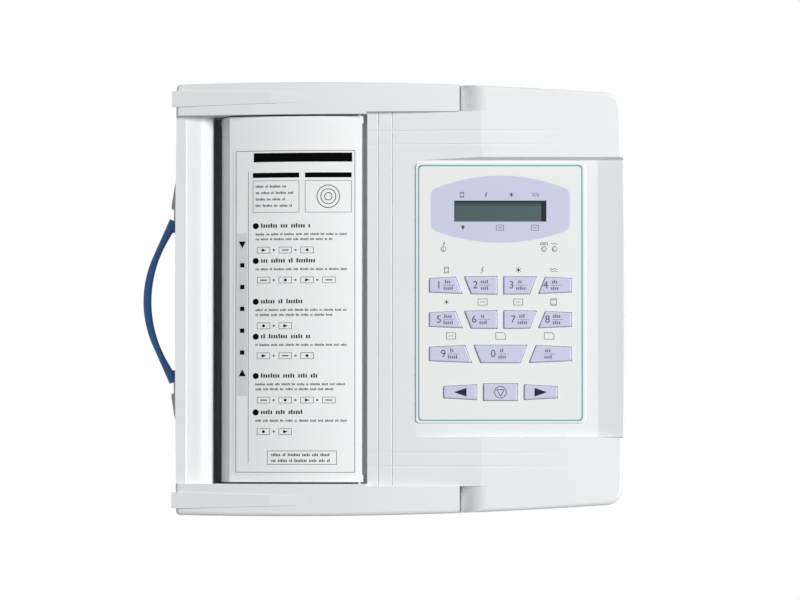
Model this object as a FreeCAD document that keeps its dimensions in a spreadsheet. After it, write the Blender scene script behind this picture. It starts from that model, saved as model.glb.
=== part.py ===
import FreeCAD, Part
import math
import os
from types import SimpleNamespace

import Sketcher

# A desktop twelve-lead ECG recorder with a built-in thermal printer. Everything is in
# millimetres. X runs to the user's right from the left wall of the case, Y to the rear,
# and Z up from the table. The placement of every piece then brings the origin to the
# middle of the footprint, handle included.

DRIVING = {
    # The two shells of the case
    "case_width": 307.0,
    "case_depth": 296.4,
    "case_height": 92.0,
    "foot_height": 3.0,
    "parting_height": 40.0,
    "wall": 2.5,
    "left_bow": 1.2,
    "right_bow": 2.0,
    "edge_bow": 3.6,
    "left_corner_inset": 0.0,
    "right_corner_inset": 7.8,
    "upper_overhang": 2.0,
    "left_corner_radius": 3.2,
    "right_corner_radius": 11.5,
    "rim_radius": 2.6,
    "base_radius": 2.4,
    "rail_left_height": 70.0,
    "rail_wall": 126.8,
    "notch_left": 194.0,
    "notch_right": 212.0,
    "notch_depth": 16.0,
    "notch_wall": 128.3,
    "rib_centre": 138.2,
    "rib_width": 11.0,
    "rib_tip_width": 4.0,
    "rib_height": 1.7,
    "rib_root": 4.0,
    "rib_length": 132.0,
    "rib_overhang": 2.0,
    # The paper exit at the left of the case
    "strip_width": 5.5,
    "strip_height": 66.4,
    "guide_height": 65.4,
    "guide_flat": 14.0,
    "lip_edge": 24.0,
    # The sloping frame and the panel set into it
    "frame_left": 130.8,
    "frame_left_height": 84.0,
    "frame_crease": 209.0,
    "panel_left": 164.0,
    "panel_right": 288.6,
    "panel_floor": 87.4,
    "panel_half": 94.7,
    "panel_rear_draft": 2.1,
    "panel_front_draft": 0.6,
    "ramp_end_height": 91.4,
    "groove_width": 1.1,
    "groove_depth": 0.8,
    "groove_first": 138.2,
    "groove_second": 147.7,
    "groove_inner": 105.6,
    "groove_outer": 114.9,
    "groove_end": 296.0,
    # Fits
    "running_gap": 0.05,
    "free_gap": 0.3,
    # Feet and case screws
    "foot_radius": 8.0,
    "foot_inset_x": 26.0,
    "foot_inset_y": 28.0,
    "foot_socket": 1.0,
    "screw_radius": 1.5,
    "screw_head_radius": 2.8,
    "screw_head_height": 2.2,
    "screw_length": 30.0,
    "post_radius": 4.2,
    "post_left": 14.0,
    "post_middle": 128.0,
    "post_right": 292.0,
    "post_side": 136.2,
    "post_right_side": 122.0,
    "screw_pit": 6.0,
    # Carrying handle on the left wall
    "handle_reach": 26.0,
    "handle_height": 26.0,
    "handle_thickness": 5.6,
    "handle_width": 6.4,
    "handle_half": 57.5,
    "handle_bend": 76.0,
    "handle_slant": 24.0,
    "handle_inner_bend": 84.0,
    "handle_inner_slant": 30.0,
    "handle_end_cut": 1.5,
    "handle_round": 2.0,
    "knuckle_radius": 2.7,
    "knuckle_length": 8.0,
    "pivot_offset": 3.6,
    "pivot_radius": 1.2,
    "ear_start": 64.4,
    "ear_end": 82.0,
    "ear_flat": 3.0,
    "ear_reach": 6.0,
    "ear_taper": 2.4,
    "ear_width": 14.0,
    # Printer door
    "door_left": 35.6,
    "door_right": 127.3,
    "door_left_height": 70.0,
    "door_right_height": 82.5,
    "door_radius": 230.0,
    "door_lip_x": 29.8,
    "door_lip_height": 52.0,
    "door_thickness": 2.5,
    "door_end_gap": 1.2,
    "cheek_outer": 120.5,
    "cheek_thickness": 2.5,
    "cheek_radius": 7.0,
    "hinge_x": 125.3,
    "hinge_height": 79.0,
    "hinge_radius": 1.5,
    "hinge_boss": 3.0,
    "hinge_boss_length": 5.0,
    "ledge_left": 121.0,
    "ledge_height": 75.5,
    "label_thickness": 0.25,
    "label_left": 38.6,
    "label_right": 124.0,
    "label_rear": 103.6,
    "label_front": 120.6,
    # Platen, gears and motor
    "platen_x": 37.0,
    "platen_height": 44.0,
    "platen_radius": 7.0,
    "platen_half": 110.0,
    "shaft_radius": 2.5,
    "bush_radius": 4.5,
    "gear_module": 1.0,
    "platen_teeth": 15,
    "idler_teeth": 30,
    "pinion_teeth": 12,
    "gear_spread": 0.1,
    "gear_backlash": 0.16,
    "gear_width": 3.4,
    "gear_side": 121.2,
    "idler_angle": -50.0,
    "pinion_angle": -20.0,
    "axle_radius": 2.0,
    "motor_radius": 12.0,
    "motor_length": 13.5,
    "motor_shaft_radius": 1.5,
    "saddle_thickness": 2.0,
    "saddle_side": 113.5,
    "saddle_width": 12.0,
    # Thermal head
    "head_half": 108.0,
    "head_width": 13.0,
    "head_thickness": 1.2,
    "head_gap": 0.3,
    "sink_left": 31.0,
    "sink_right": 51.0,
    "sink_thickness": 6.0,
    "trunnion_radius": 2.0,
    "trunnion_length": 4.0,
    "spring_thickness": 0.6,
    "spring_width": 14.0,
    "spring_gap": 0.95,
    # Paper tray and roll
    "tray_left": 20.0,
    "tray_wall": 2.0,
    "tray_floor": 7.0,
    "tray_rim_gap": 0.5,
    "tray_end": 126.5,
    "roll_x": 86.0,
    "roll_height": 34.5,
    "roll_radius": 24.0,
    "roll_half": 107.5,
    "core_radius": 8.5,
    "core_bore": 6.2,
    "spindle_radius": 4.0,
    "spindle_flange": 13.0,
    "holder_thickness": 2.5,
    "holder_width": 16.0,
    # Control panel
    "panel_centre": 221.9,
    "overlay_width": 115.6,
    "overlay_depth": 178.2,
    "overlay_centre": 3.9,
    "overlay_radius": 2.7,
    "overlay_thickness": 1.0,
    "key_field": 48.6,
    "key_half_height": 6.16,
    "key_crown": 1.5,
    "key_middle_gap": 2.3,
    "key_slant": 4.8,
    "key_split_inner": 24.7,
    "key_split_outer": 30.8,
    "wide_split_inner": 18.2,
    "wide_split_outer": 24.4,
    "arrow_outer": 38.9,
    "arrow_inner": 16.2,
    "stop_half": 11.6,
    "arrow_half_height": 5.4,
    "row_one": 9.1,
    "row_pitch": 23.5,
    "row_four": -64.1,
    "key_rise": 1.2,
    "key_round": 0.9,
    "key_flange": 0.9,
    "key_flange_thickness": 1.0,
    "key_stem_depth": 0.6,
    "key_retain_gap": 0.2,
    "sheet_thickness": 1.0,
    "board_thickness": 1.6,
    "key_board_half": 55.0,
    "key_board_rear": 40.0,
    "key_board_front": 79.0,
    "key_opening_half": 51.5,
    "key_opening_rear": 18.5,
    "key_opening_front": 73.0,
    "lcd_centre_y": 59.9,
    "lcd_window_width": 62.9,
    "lcd_window_depth": 14.2,
    "lcd_window_thickness": 0.8,
    "lcd_frame_width": 71.0,
    "lcd_frame_depth": 23.0,
    "lcd_frame_depth_z": 6.2,
    "lcd_frame_wall": 1.0,
    "lcd_board_width": 82.0,
    "lcd_board_depth": 36.0,
    "lcd_glass_thickness": 2.0,
    "lamp_radius": 1.5,
    "lamp_rise": 0.3,
    "lamp_row": 33.9,
    "lamp_ready": 183.0,
    "lamp_battery": 251.7,
    "lamp_mains": 259.0,
    # Boards, supply and battery
    "board_height": 12.0,
    "main_board_left": 139.0,
    "main_board_right": 205.0,
    "main_board_half": 118.0,
    "input_board_left": 246.0,
    "input_board_right": 296.0,
    "input_board_half": 30.0,
    "standoff_radius": 3.0,
    "standoff_inset": 5.0,
    "ribbon_x": 186.0,
    "ribbon_width": 22.0,
    "ribbon_thickness": 0.6,
    "supply_left": 214.0,
    "supply_right": 296.0,
    "supply_front": 40.0,
    "supply_rear": 116.0,
    "supply_height": 27.0,
    "battery_left": 214.0,
    "battery_right": 292.0,
    "battery_front": 100.0,
    "battery_rear": 40.0,
    "battery_height": 24.0,
    "battery_door_margin": 5.0,
    "battery_door_ledge": 1.2,
    # Connectors
    "rear_panel": 140.5,
    "rear_panel_left": 150.0,
    "rear_panel_right": 292.0,
    "connector_height": 22.0,
    "connector_panel_half": 12.5,
    "inlet_x": 268.0,
    "inlet_width": 27.2,
    "inlet_depth": 19.6,
    "inlet_flange": 2.0,
    "inlet_flange_rim": 1.8,
    "inlet_length": 21.0,
    "inlet_well_width": 22.4,
    "inlet_well_depth": 15.0,
    "inlet_well_length": 16.0,
    "blade_width": 2.0,
    "blade_height": 5.0,
    "blade_length": 12.0,
    "blade_spread": 7.0,
    "switch_x": 232.0,
    "switch_width": 13.0,
    "switch_tall": 19.0,
    "switch_rim": 1.5,
    "switch_flange": 1.6,
    "switch_length": 16.0,
    "rocker_rise": 2.6,
    "rocker_side_gap": 0.4,
    "rocker_tilt": 8.0,
    "rocker_pin_radius": 1.2,
    "stud_x": 206.0,
    "stud_radius": 3.0,
    "stud_length": 6.5,
    "stud_nut_radius": 5.6,
    "stud_nut_height": 2.6,
    "serial_x": 176.0,
    "serial_flange_width": 30.8,
    "serial_flange_height": 12.5,
    "serial_flange": 1.2,
    "serial_shell_width": 17.0,
    "serial_shell_height": 8.4,
    "serial_shell_reach": 4.6,
    "serial_inside": 9.0,
    "patient_seat": 302.2,
    "patient_flange_width": 39.2,
    "patient_shell_width": 25.2,
    "patient_panel_half": 23.0,
    # Cooling slots under the supply
    "slot_count": 7,
    "slot_pitch": 10.0,
    "slot_width": 3.0,
    "slot_length": 52.0,
}

ORIGIN_PLANES = {"XY": "XY_Plane", "XZ": "XZ_Plane", "YZ": "YZ_Plane"}


def number(term):
    return term.value if isinstance(term, Size) else term


def formula(term):
    return term.formula if isinstance(term, Size) else f"({term})"


class Size:
    """A number together with the spreadsheet formula that gives it."""

    def __init__(self, value, text):
        self.value = value
        self.formula = text

    def __add__(self, other):
        return Size(self.value + number(other), f"({self.formula} + {formula(other)})")

    def __radd__(self, other):
        return Size(other + self.value, f"({formula(other)} + {self.formula})")

    def __sub__(self, other):
        return Size(self.value - number(other), f"({self.formula} - {formula(other)})")

    def __rsub__(self, other):
        return Size(other - self.value, f"({formula(other)} - {self.formula})")

    def __mul__(self, other):
        return Size(self.value * number(other), f"({self.formula} * {formula(other)})")

    def __rmul__(self, other):
        return Size(other * self.value, f"({formula(other)} * {self.formula})")

    def __truediv__(self, other):
        return Size(self.value / number(other), f"({self.formula} / {formula(other)})")

    def __neg__(self):
        return Size(-self.value, f"(0 - {self.formula})")


def root(term):
    return Size(math.sqrt(term.value), f"sqrt({term.formula})")


def cosine(angle):
    return Size(math.cos(math.radians(angle.value)), f"cos({angle.formula})")


def sine(angle):
    return Size(math.sin(math.radians(angle.value)), f"sin({angle.formula})")


def bow_radius(chord_x, chord_y, bow):
    """Radius of the arc that stands off its chord by bow."""
    return ((chord_x * chord_x + chord_y * chord_y) / 4 + bow * bow) / (2 * bow)


def tangent_radius(run, drop):
    """Radius of an arc that leaves the level and falls by drop over run."""
    return (run * run + drop * drop) / (2 * drop)


doc = FreeCAD.newDocument("ecg_recorder")
sheet = doc.addObject("Spreadsheet::Sheet", "Dims")
for row, (alias, amount) in enumerate(DRIVING.items(), start=1):
    sheet.set(f"A{row}", alias)
    sheet.set(f"B{row}", str(amount))
    sheet.setAlias(f"B{row}", alias)
doc.recompute()
dim = SimpleNamespace(**{alias: Size(amount, f"Dims.{alias}") for alias, amount in DRIVING.items()})

pieces = []


class Bend:
    """A corner from which an arc, not a straight line, runs to the next corner."""

    def __init__(self, u, v, radius, clockwise):
        self.u = u
        self.v = v
        self.radius = radius
        self.clockwise = clockwise


class Disc:
    def __init__(self, u, v, radius):
        self.u = u
        self.v = v
        self.radius = radius


def rectangle(u_low, v_low, u_high, v_high):
    return [(u_low, v_low), (u_high, v_low), (u_high, v_high), (u_low, v_high)]


class Piece:
    """One sub-part of the recorder: a body built from sketches, named for its file."""

    def __init__(self, label):
        self.body = doc.addObject("PartDesign::Body", label)
        self.body.Label = label
        self.body.AllowCompound = True
        self.body.setExpression("Placement.Base.x", formula((dim.handle_reach - dim.case_width) / 2))
        pieces.append(self.body)

    def plane(self, name):
        role = ORIGIN_PLANES[name]
        return next(f for f in self.body.Origin.OriginFeatures if f.Role == role)

    def sketch(self, plane, offset, loops):
        sketch = self.body.newObject("Sketcher::SketchObject", f"{self.body.Name}_sketch")
        sketch.AttachmentSupport = [(self.plane(plane), "")]
        sketch.MapMode = "FlatFace"
        sketch.setExpression("AttachmentOffset.Base.z", formula(offset))
        for loop in loops:
            if isinstance(loop, Disc):
                draw_disc(sketch, loop)
            else:
                draw_loop(sketch, loop)
        return sketch

    def feature(self, kind, plane, offset, length, loops):
        before = self.volume()
        profile = self.sketch(plane, offset, loops)
        item = self.body.newObject(f"PartDesign::{kind}", f"{self.body.Name}_{kind.lower()}")
        item.Profile = profile
        item.setExpression("Length", formula(length))
        doc.recompute()
        if abs(self.volume() - before) < 1e-6:
            raise RuntimeError(f"{item.Name} changed nothing")
        return item

    def pad(self, plane, low, high, *loops):
        start = -high if plane == "XZ" else low
        return self.feature("Pad", plane, start, high - low, loops)

    def pocket(self, plane, low, high, *loops):
        start = -low if plane == "XZ" else high
        return self.feature("Pocket", plane, start, high - low, loops)

    def loft(self, plane, sections):
        """Straight-sided body through several loops, each at its own offset."""
        before = self.volume()
        sketches = [self.sketch(plane, offset, [loop]) for offset, loop in sections]
        item = self.body.newObject("PartDesign::AdditiveLoft", f"{self.body.Name}_loft")
        item.Profile = sketches[0]
        item.Sections = sketches[1:]
        item.Ruled = True
        doc.recompute()
        if self.volume() - before < 1e-6:
            raise RuntimeError(f"{item.Name} changed nothing")
        return item

    def volume(self):
        shape = self.body.Shape
        return 0.0 if shape.isNull() else shape.Volume

    def round_edges(self, radius, chosen, kind="Fillet"):
        tip = self.body.Tip
        names = [f"Edge{i}" for i, edge in enumerate(tip.Shape.Edges, start=1) if chosen(edge)]
        if not names:
            raise RuntimeError(f"no edge to round on {self.body.Label}")
        item = self.body.newObject(f"PartDesign::{kind}", f"{self.body.Name}_{kind.lower()}")
        item.Base = (tip, names)
        item.setExpression("Radius" if kind == "Fillet" else "Size", formula(radius))
        doc.recompute()
        return item


def draw_disc(sketch, disc):
    centre = FreeCAD.Vector(number(disc.u), number(disc.v), 0)
    circle = Part.Circle(centre, FreeCAD.Vector(0, 0, 1), number(disc.radius))
    item = sketch.addGeometry(circle, False)
    hold(sketch, "DistanceX", (-1, 1, item, 3), disc.u)
    hold(sketch, "DistanceY", (-1, 1, item, 3), disc.v)
    hold(sketch, "Radius", (item,), disc.radius)


def hold(sketch, kind, places, term):
    index = sketch.addConstraint(Sketcher.Constraint(kind, *places, number(term)))
    sketch.setExpression(f"Constraints[{index}]", formula(term))


def arc_between(start, end, radius, clockwise):
    """The short arc from start to end, with its centre on the side that clockwise asks for."""
    chord = end - start
    side = FreeCAD.Vector(chord.y, -chord.x, 0) if clockwise else FreeCAD.Vector(-chord.y, chord.x, 0)
    reach = math.sqrt(max(radius**2 - (chord.Length / 2) ** 2, 0.0))
    centre = (start + end) / 2 + side.normalize() * reach
    first, last = (end, start) if clockwise else (start, end)
    angles = [math.atan2(p.y - centre.y, p.x - centre.x) for p in (first, last)]
    circle = Part.Circle(centre, FreeCAD.Vector(0, 0, 1), radius)
    return Part.ArcOfCircle(circle, *angles)


def draw_loop(sketch, loop):
    """Draw a closed loop, each corner held at its own place from the sheet."""
    corners = [c if isinstance(c, Bend) else SimpleNamespace(u=c[0], v=c[1], radius=None) for c in loop]
    spots = [FreeCAD.Vector(number(c.u), number(c.v), 0) for c in corners]
    edges = []
    for i, corner in enumerate(corners):
        start, end = spots[i], spots[(i + 1) % len(spots)]
        if corner.radius is None:
            item = sketch.addGeometry(Part.LineSegment(start, end), False)
            edges.append((item, 1, 2))
        else:
            arc = arc_between(start, end, number(corner.radius), corner.clockwise)
            item = sketch.addGeometry(arc, False)
            edges.append((item, 2, 1) if corner.clockwise else (item, 1, 2))
    for i, corner in enumerate(corners):
        item, first, _ = edges[i]
        earlier, _, last = edges[i - 1]
        sketch.addConstraint(Sketcher.Constraint("Coincident", earlier, last, item, first))
        hold(sketch, "DistanceX", (-1, 1, item, first), corner.u)
        hold(sketch, "DistanceY", (-1, 1, item, first), corner.v)
        if corner.radius is not None:
            hold(sketch, "Radius", (item,), corner.radius)


def upright(edge):
    """Whether an edge runs straight up."""
    box = edge.BoundBox
    return box.XLength < 1e-6 and box.YLength < 1e-6


def case_outline(inset, overhang=None):
    """Plan of the case: bowed on all sides. The top shell overhangs the bottom at the left."""
    left = dim.left_bow + inset
    if overhang is not None:
        left = left - overhang
    right = dim.case_width - dim.right_bow - inset
    left_y = dim.case_depth / 2 - dim.left_corner_inset - inset
    right_y = dim.case_depth / 2 - dim.right_corner_inset - inset
    long_bow = bow_radius(right - left, left_y - right_y, dim.edge_bow)
    return [
        Bend(left, -left_y, long_bow, False),
        Bend(right, -right_y, bow_radius(0 * dim.wall, 2 * right_y, dim.right_bow), False),
        Bend(right, right_y, long_bow, False),
        Bend(left, left_y, bow_radius(0 * dim.wall, 2 * left_y, dim.left_bow), False),
    ]


def arc_centre(start, end, radius):
    """Centre of an arc that runs from start to end and bulges to the second axis's plus side."""
    run, rise = end[0] - start[0], end[1] - start[1]
    length = root(run * run + rise * rise)
    reach = root(radius * radius - length * length / 4)
    middle_x, middle_y = (start[0] + end[0]) / 2, (start[1] + end[1]) / 2
    return middle_x + rise / length * reach, middle_y - run / length * reach


def frame_height(x):
    """Height of the sloping frame at x."""
    rise = dim.case_height - dim.frame_left_height
    return dim.frame_left_height + rise * (x - dim.frame_left) / (dim.frame_crease - dim.frame_left)


def rail_height(x):
    """Height of the rails at x, where their long arc lies."""
    run = dim.notch_right - x
    return dim.case_height - rail_slope + root(rail_slope * rail_slope - run * run)


post_places = [
    (dim.post_left, dim.post_side),
    (dim.post_middle, dim.post_side),
    (dim.post_right, dim.post_right_side),
    (dim.post_left, -dim.post_side),
    (dim.post_middle, -dim.post_side),
    (dim.post_right, -dim.post_right_side),
]
rail_start = dim.left_bow + dim.upper_overhang
rail_slope = tangent_radius(dim.notch_right + rail_start, dim.case_height - dim.rail_left_height)
outside = dim.case_depth / 2 + dim.wall
above = dim.case_height + dim.wall
below_parting = dim.parting_height - dim.wall
panel_low = dim.panel_floor - dim.wall
key_board_top = panel_low - dim.wall / 2
lcd_board_top = dim.panel_floor - dim.key_retain_gap - dim.lcd_frame_depth_z


def make_upper_case():
    """Top shell: rails, paper exit, sloping frame and the recess of the panel."""
    shell = Piece("upper_case")
    shell.pad("XY", dim.parting_height, dim.case_height, case_outline(0 * dim.wall, dim.upper_overhang))
    right_end = number(dim.case_width) * 0.9
    shell.round_edges(dim.right_corner_radius, lambda e: upright(e) and e.CenterOfMass.x > right_end)
    shell.round_edges(dim.left_corner_radius, lambda e: upright(e) and e.CenterOfMass.x < 5)
    shell.pocket(
        "XZ",
        -outside,
        outside,
        [
            Bend(-rail_start, dim.rail_left_height, rail_slope, True),
            (dim.notch_right, dim.case_height),
            (dim.notch_right, above),
            (-rail_start, above),
        ],
    )
    rim = number(dim.rail_left_height) - 0.5
    shell.round_edges(
        dim.rim_radius,
        lambda e: e.BoundBox.ZMin > rim and e.BoundBox.XLength + e.BoundBox.YLength > 2 and not crossing(e),
    )
    cut_top_surfaces(shell)
    hollow_upper_case(shell)
    cut_panel_openings(shell)
    add_upper_posts(shell)
    return shell


def crossing(edge):
    """Whether an edge lies straight across the top, where the rails meet the flat."""
    box = edge.BoundBox
    return box.XLength < 1e-3 and box.ZLength < 1e-3 and 20 < box.Center.x < 290


def cut_top_surfaces(shell):
    """Everything that is cut into the top from above."""
    roll = dim.lip_edge - dim.guide_flat
    shell.pocket(
        "XZ",
        -dim.rail_wall,
        dim.rail_wall,
        [
            (-dim.strip_width, dim.strip_height - dim.left_bow),
            (dim.strip_width, dim.strip_height),
            (dim.strip_width, dim.guide_height),
            Bend(dim.guide_flat, dim.guide_height - dim.left_bow / 2, roll, True),
            (dim.lip_edge, dim.guide_height - dim.left_bow / 2 - roll),
            (dim.lip_edge, below_parting),
            (dim.frame_left, below_parting),
            (dim.frame_left, above),
            (-dim.strip_width, above),
        ],
    )
    shell.pocket(
        "XZ",
        -dim.notch_wall,
        dim.notch_wall,
        [
            (dim.frame_left - dim.wall / 4, frame_height(dim.frame_left - dim.wall / 4)),
            (dim.frame_crease, dim.case_height),
            (dim.frame_crease, above),
            (dim.frame_left - dim.wall / 4, above),
        ],
    )
    shoulder = tangent_radius(dim.notch_right - dim.notch_left, dim.notch_depth)
    notch = [
        Bend(dim.notch_left, dim.case_height - dim.notch_depth, shoulder, True),
        (dim.notch_right, dim.case_height),
        (dim.notch_right, above),
        (dim.notch_left, above),
    ]
    shell.pocket("XZ", dim.notch_wall, outside, notch)
    shell.pocket("XZ", -outside, -dim.notch_wall, notch)
    far_right = dim.case_width + dim.wall
    ramp = (dim.ramp_end_height - dim.panel_floor) / (dim.case_width - dim.panel_right)
    shell.pocket(
        "XZ",
        -dim.panel_half,
        dim.panel_half,
        [
            (dim.panel_left, dim.panel_floor),
            (dim.panel_right, dim.panel_floor),
            (far_right, dim.panel_floor + ramp * (far_right - dim.panel_right)),
            (far_right, above),
            (dim.panel_left, above),
        ],
    )
    rise = (above - dim.panel_floor) / (dim.case_height - dim.panel_floor)
    for side, draft in ((1, dim.panel_rear_draft), (-1, dim.panel_front_draft)):
        foot = side * (dim.panel_half - dim.wall)
        edge = side * dim.panel_half
        top = side * (dim.panel_half + draft * rise)
        shell.pocket(
            "YZ",
            dim.panel_left,
            dim.panel_right,
            [(foot, dim.panel_floor), (edge, dim.panel_floor), (top, above), (foot, above)],
        )
        shell.pocket("YZ", dim.panel_right, far_right, [(edge, dim.panel_floor), (top, above), (edge, above)])
    cut_grooves(shell)


def cut_grooves(shell):
    """Fine moulded lines that cross at the corners of the frame."""
    half = dim.groove_width / 2
    for x in (dim.groove_first, dim.groove_second):
        ridge = [
            (x - half, frame_height(x)),
            (x, frame_height(x) - dim.groove_depth),
            (x + half, frame_height(x)),
            (x + half, above),
            (x - half, above),
        ]
        shell.pocket("XZ", -dim.notch_wall, dim.notch_wall, ridge)
    line = [
        (dim.frame_left, dim.frame_left_height - dim.groove_depth / 2),
        (dim.frame_crease, dim.case_height - dim.groove_depth / 2),
        (dim.groove_end, dim.case_height),
        (dim.groove_end, above),
        (dim.frame_left, above),
    ]
    for y in (dim.groove_inner, dim.groove_outer, -dim.groove_inner, -dim.groove_outer):
        shell.pocket("XZ", y - half, y + half, line)


def hollow_upper_case(shell):
    """Open the inside from below, leaving the walls of the rails and the bay."""
    wall = dim.wall
    rail_inner = dim.rail_wall + wall
    rail_outer = dim.case_depth / 2 - dim.right_corner_inset / 4 - wall
    inner_left = dim.left_bow + wall
    notch_inner = dim.notch_left - wall
    start_height = dim.rail_left_height - wall
    cavity = [
        (inner_left, below_parting),
        (notch_inner, below_parting),
        (notch_inner, dim.case_height - 2 * wall),
        (inner_left + dim.notch_right / 3, dim.case_height - dim.notch_depth - wall),
        (inner_left, start_height - wall / 2),
    ]
    shell.pocket("XZ", rail_inner, rail_outer, cavity)
    shell.pocket("XZ", -rail_outer, -rail_inner, cavity)
    roll = dim.lip_edge - dim.guide_flat - wall
    shell.pocket(
        "XZ",
        -dim.rail_wall,
        dim.rail_wall,
        [
            (inner_left, below_parting),
            (inner_left, dim.guide_height - wall),
            Bend(dim.guide_flat, dim.guide_height - dim.left_bow / 2 - wall, roll, True),
            (dim.lip_edge - wall, dim.guide_height - dim.left_bow / 2 - wall - roll),
            (dim.lip_edge - wall, below_parting),
        ],
    )
    bay_right = dim.frame_left + wall
    inner_right = dim.case_width - dim.right_bow - 2 * wall
    inner_right_y = dim.case_depth / 2 - dim.right_corner_inset - 2 * wall
    right_rail_left = dim.notch_right + wall
    frame_low = dim.frame_left_height - wall
    shell.pocket(
        "XZ",
        -dim.rail_wall,
        dim.rail_wall,
        [
            (bay_right, below_parting),
            (inner_right, below_parting),
            (inner_right, panel_low),
            (dim.panel_left, panel_low),
            (bay_right, frame_low),
        ],
    )
    corner = dim.right_corner_radius
    for side in (1, -1):
        low, high = sorted((side * dim.rail_wall, side * inner_right_y), key=number)
        shell.pocket(
            "XZ",
            low,
            high,
            rectangle(right_rail_left, below_parting, inner_right - corner, dim.case_height - wall),
        )
        band_low, band_high = sorted(
            (side * (dim.panel_half + 2 * wall), side * dim.rail_wall), key=number
        )
        shell.pocket(
            "XZ",
            band_low,
            band_high,
            rectangle(right_rail_left, panel_low - wall, inner_right - corner, dim.case_height - wall),
        )


def cut_panel_openings(shell):
    """Openings in the floor of the panel for the keys, the display and the lamps."""
    low = panel_low - dim.wall
    keys = rectangle(
        dim.panel_centre - dim.key_opening_half,
        -dim.key_opening_front,
        dim.panel_centre + dim.key_opening_half,
        dim.key_opening_rear,
    )
    half_width = dim.lcd_frame_width / 2 + dim.free_gap
    half_depth = dim.lcd_frame_depth / 2 + dim.free_gap
    display = rectangle(
        dim.panel_centre - half_width,
        dim.lcd_centre_y - half_depth,
        dim.panel_centre + half_width,
        dim.lcd_centre_y + half_depth,
    )
    lamps = [Disc(x, dim.lamp_row, dim.lamp_radius + dim.free_gap) for x in lamp_places]
    shell.pocket("XY", low, above, keys, display, *lamps)


lamp_places = (dim.lamp_ready, dim.lamp_battery, dim.lamp_mains)


def key_board_posts():
    inset = dim.standoff_inset / 2
    xs = (dim.panel_centre - dim.key_board_half + inset, dim.panel_centre + dim.key_board_half - inset)
    ys = (-dim.key_board_front + inset, dim.key_board_rear - inset)
    return [(x, y) for x in xs for y in ys]


def lcd_board_posts():
    dx = dim.lcd_board_width / 2 - dim.standoff_inset / 2
    dy = dim.lcd_board_depth / 2 - dim.standoff_inset / 2
    return [
        (dim.panel_centre + sx * dx, dim.lcd_centre_y + sy * dy) for sx in (-1, 1) for sy in (-1, 1)
    ]


def add_upper_posts(shell):
    """Posts for the screws and boards, the rail ribs and the door's hinge bosses."""
    add_rail_ribs(shell)
    ledge = rectangle(
        dim.ledge_left,
        dim.ledge_height - dim.wall,
        dim.frame_left + dim.wall / 2,
        dim.ledge_height,
    )
    shell.pad("XZ", -dim.rail_wall - dim.wall / 2, dim.rail_wall + dim.wall / 2, ledge)
    roof = dim.rail_left_height - 2 * dim.wall
    posts = [Disc(x, y, dim.post_radius) for x, y in post_places]
    shell.pad("XY", dim.parting_height, roof, *posts)
    bores = [Disc(x, y, dim.screw_radius) for x, y in post_places]
    top = dim.foot_height + dim.screw_pit + dim.screw_length + dim.free_gap
    shell.pocket("XY", below_parting, top + dim.screw_head_height, *bores)
    half = dim.standoff_radius / 2
    small = [Disc(x, y, half) for x, y in key_board_posts()]
    shell.pad("XY", key_board_top, panel_low + dim.wall / 4, *small)
    small = [Disc(x, y, half) for x, y in lcd_board_posts()]
    shell.pad("XY", lcd_board_top, panel_low + dim.wall / 4, *small)
    boss = Disc(dim.hinge_x, dim.hinge_height, dim.hinge_boss)
    bore = Disc(dim.hinge_x, dim.hinge_height, dim.hinge_radius)
    outer = dim.rail_wall + dim.hinge_boss_length
    shell.pad("XZ", dim.rail_wall + dim.wall / 2, outer, boss)
    shell.pad("XZ", -outer, -dim.rail_wall - dim.wall / 2, boss)
    shell.pocket("XZ", dim.rail_wall - dim.wall, outer - dim.wall / 2, bore)
    shell.pocket("XZ", -outer + dim.wall / 2, -dim.rail_wall + dim.wall, bore)


def add_rail_ribs(shell):
    """A raised rib along each rail, which narrows and sinks away to the right."""
    start = -dim.upper_overhang - dim.rib_overhang
    end = dim.rib_length
    middle = (start + end) / 2
    middle_width = (dim.rib_width + dim.rib_tip_width) / 2
    sections = [
        (start, dim.rib_width, dim.rib_height),
        (middle, middle_width, dim.rib_height / 2),
        (end, dim.rib_tip_width, 0 * dim.wall),
    ]
    for side in (1, -1):
        loops = []
        for x, width, lift in sections:
            y = side * dim.rib_centre
            top = rail_height(x) + lift
            loops.append((x, rectangle(y - width / 2, top - dim.rib_root, y + width / 2, top)))
        shell.loft("YZ", loops)


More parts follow.
